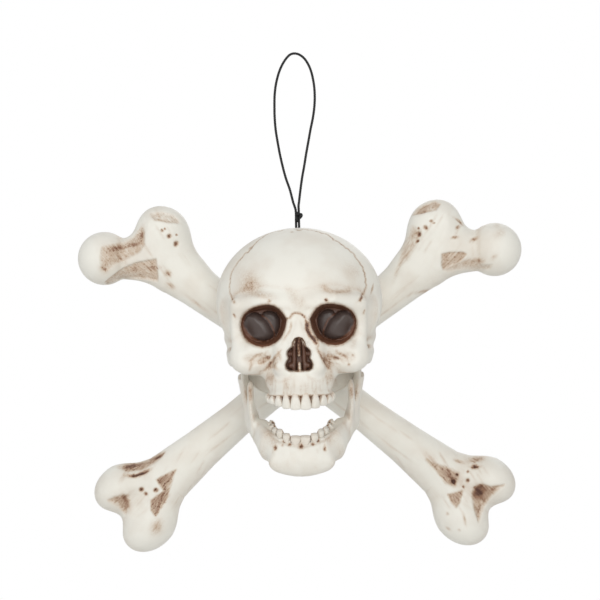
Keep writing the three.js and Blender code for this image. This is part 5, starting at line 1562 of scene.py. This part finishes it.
class SKULL_OT_cord(Operator):
    bl_idname = "skull.cord"
    bl_label = "Hanging cord"

    def execute(self, context):
        material = finish_of("black_waxed_cord")
        route = [(x, CORD_BACK, CROWN + rise) for x, rise in CORD_ROUTE]
        line, length = smooth_line(route, 640)
        cord = tube_piece("cord", [line], CORD_THICKNESS / 2)
        outer = [knot_line((0.5, CORD_BACK, CROWN + 8.6), 2.2, 1.6, 3.3, 0.42),
                 knot_line((0.6, CORD_BACK, CROWN + 8.4), 1.6, 1.9, 2.6, 0.1, 0.55)]
        knot = tube_piece("cord_knot_tied", outer, 0.95, True, 14)
        inner = [knot_line((0, CORD_BACK, CROWN - 8.4), 3.3, 3.1, 1.95, 0.1),
                 knot_line((0, CORD_BACK, CROWN - 8.4), 2.4, 2.2, 1.7, -0.2, 0.6)]
        stop = tube_piece("cord_stop_tied", inner, 1.0, True, 14)
        finish_piece(cord, material, "skull", "black_cord",
                     "cord_loop", "cord_strand_right", "cord_strand_left")
        finish_piece(knot, material, "skull", "black_cord", "cord_knot")
        finish_piece(stop, material, "skull", "black_cord", "cord_stop")
        path = [tuple(point) for point in (line[:: len(line) // 64] + SHIFT) * MM]
        path[-1:] = [tuple((line[-1] + SHIFT) * MM)]
        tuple(path[0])
        return {"FINISHED"}


# Stage
def aimed_lamp(name, place, target, size, power, colour):
    """A round soft lamp that points at the target."""
    data = bpy.data.lights.new(name, "AREA")
    data.shape, data.size, data.energy, data.color = "DISK", size, power, colour
    lamp = bpy.data.objects.new(name, data)
    bpy.context.scene.collection.objects.link(lamp)
    lamp.location = place
    lamp.rotation_euler = (Vector(target) - Vector(place)).to_track_quat("-Z", "Y").to_euler()
    return lamp


class SKULL_OT_stage(Operator):
    """Sets up the camera of the photograph, soft studio lamps, a pale floor and a white surround."""

    bl_idname = "skull.stage"
    bl_label = "Camera, lamps and floor"

    def execute(self, context):
        scene, look = context.scene, context.scene.skull_stage
        data = bpy.data.cameras.new("camera")
        data.lens, data.sensor_width, data.shift_x = 100.0, 36.0, 0.0012
        camera = bpy.data.objects.new("camera", data)
        scene.collection.objects.link(camera)
        turn, distance = look.camera_turn, look.camera_distance
        camera.location = (distance * math.sin(turn), -distance * math.cos(turn), look.camera_height)
        camera.rotation_euler = (math.pi / 2, look.camera_roll, turn)
        scene.camera = camera
        scene.view_settings.view_transform = "Standard"
        middle = (0.0, -0.02, -0.2)
        aimed_lamp("key", (0.25, -1.65, 0.35), middle, 1.1, look.key_power, (1.0, 0.985, 0.965))
        aimed_lamp("fill", (-1.25, -1.2, 0.3), middle, 1.2, look.fill_power, (0.97, 0.985, 1.0))
        aimed_lamp("back", (0.3, 1.4, 0.5), middle, 1.2, look.fill_power, (1.0, 1.0, 1.0))
        world = scene.world or bpy.data.worlds.new("surround")
        scene.world = world
        world.use_nodes = True
        tree = world.node_tree
        tree.nodes.clear()
        path = add_node(tree, "ShaderNodeLightPath").outputs
        seen = add_node(tree, "ShaderNodeBackground", {
            "Color": (1, 1, 1, 1), "Strength": 1.0}).outputs[0]
        light = add_node(tree, "ShaderNodeBackground", {
            "Color": (0.97, 0.99, 1, 1), "Strength": look.ambient}).outputs[0]
        mixed = add_node(tree, "ShaderNodeMixShader", {
            0: path["Is Camera Ray"], 1: light, 2: seen}).outputs[0]
        add_node(tree, "ShaderNodeOutputWorld", {"Surface": mixed})
        mesh = bpy.data.meshes.new("floor")
        floor_mesh = bmesh.new()
        bmesh.ops.create_grid(floor_mesh, x_segments=1, y_segments=1, size=4.0)
        bmesh.ops.translate(floor_mesh, verts=floor_mesh.verts, vec=(0, 0, -0.62))
        floor_mesh.to_mesh(mesh)
        floor_mesh.free()
        floor = bpy.data.objects.new("floor", mesh)
        scene.collection.objects.link(floor)
        mesh.materials.append(backdrop_paint("matt_white_studio_paint"))
        return {"FINISHED"}


# Add-on
def colour_property(name, description, code):
    """A colour that the user can change, from its sRGB hex value."""
    return FloatVectorProperty(name=name, description=description, subtype="COLOR", size=3, min=0, max=1,
                               default=linear(code))


class SkullFinish(PropertyGroup):
    """Colours of the decoration."""

    ivory: colour_property("Ivory", "Bare moulded plastic", "#E9E6DD")
    shaded_ivory: colour_property("Shaded ivory", "Plastic with a trace of wash", "#DDD5C9")
    pale_wash: colour_property("Pale wash", "Thin brown wash", "#C4AF9A")
    wash: colour_property("Wash", "Brown wash", "#8E6A52")
    dark_wash: colour_property("Dark wash", "Wash left thick in a hollow", "#4E2E20")
    socket_rim: colour_property("Socket rim", "Paint on the walls of the eye sockets and nose", "#6B4633")
    socket_floor: colour_property("Socket floor", "Paint on the floor of the eye sockets", "#4B3F3B")
    cord: colour_property("Cord", "Waxed cord", "#181818")
    wash_strength: FloatProperty(
        name="Wash strength", description="How much wash is left on the plastic",
        default=1.0, min=0.0, max=2.0)


class SkullStage(PropertyGroup):
    """Camera and lamps."""

    camera_distance: FloatProperty(
        name="Camera distance", description="In front of the origin",
        default=1.304, min=0.5, max=5.0, unit="LENGTH")
    camera_height: FloatProperty(
        name="Camera height", description="Above the origin",
        default=-0.1919, min=-2.0, max=2.0, unit="LENGTH")
    camera_roll: FloatProperty(
        name="Camera roll", description="Turn about the line of sight",
        default=math.radians(1.3), min=-0.5, max=0.5, subtype="ANGLE", unit="ROTATION")
    camera_turn: FloatProperty(
        name="Camera turn", description="Round to the right of the decoration",
        default=math.radians(0.9), min=-0.5, max=0.5, subtype="ANGLE", unit="ROTATION")
    key_power: FloatProperty(
        name="Key power", description="Soft lamp from the front",
        default=11.2, min=0.0, max=500.0, unit="POWER")
    fill_power: FloatProperty(
        name="Fill power", description="Soft lamps from the left and behind",
        default=4.6, min=0.0, max=500.0, unit="POWER")
    ambient: FloatProperty(
        name="Ambient", description="Strength of the surround's light",
        default=0.61, min=0.0, max=5.0)


STEPS = (SKULL_OT_stage, SKULL_OT_cord, SKULL_OT_face_shell, SKULL_OT_rear_shell, SKULL_OT_jaw,
         SKULL_OT_teeth, SKULL_OT_bones, SKULL_OT_screws)


class SKULL_PT_panel(Panel):
    """Properties of the decoration, and a button for each step."""

    bl_label = "Skull and crossbones"
    bl_idname = "SKULL_PT_panel"
    bl_space_type = "VIEW_3D"
    bl_region_type = "UI"
    bl_category = "Skull"

    def draw(self, context):
        for group in (context.scene.skull_finish, context.scene.skull_stage):
            for name in group.__annotations__:
                self.layout.prop(group, name)
        for step in STEPS:
            self.layout.operator(step.bl_idname)


CLASSES = (SkullFinish, SkullStage, *STEPS, SKULL_PT_panel)


def register():
    """Registers the classes and hangs the properties on the scene."""
    for one in CLASSES:
        bpy.utils.register_class(one)
    bpy.types.Scene.skull_finish = PointerProperty(type=SkullFinish)
    bpy.types.Scene.skull_stage = PointerProperty(type=SkullStage)


def unregister():
    """Takes the properties and the classes away again."""
    del bpy.types.Scene.skull_stage
    del bpy.types.Scene.skull_finish
    for one in reversed(CLASSES):
        bpy.utils.unregister_class(one)


def main():
    register()
    bpy.ops.skull.stage()
    bpy.ops.skull.cord()
    bpy.ops.skull.face_shell()
    bpy.ops.skull.rear_shell()
    bpy.ops.skull.jaw()
    bpy.ops.skull.teeth()
    bpy.ops.skull.bones()
    bpy.ops.skull.screws()


if __name__ == "__main__":
    main()
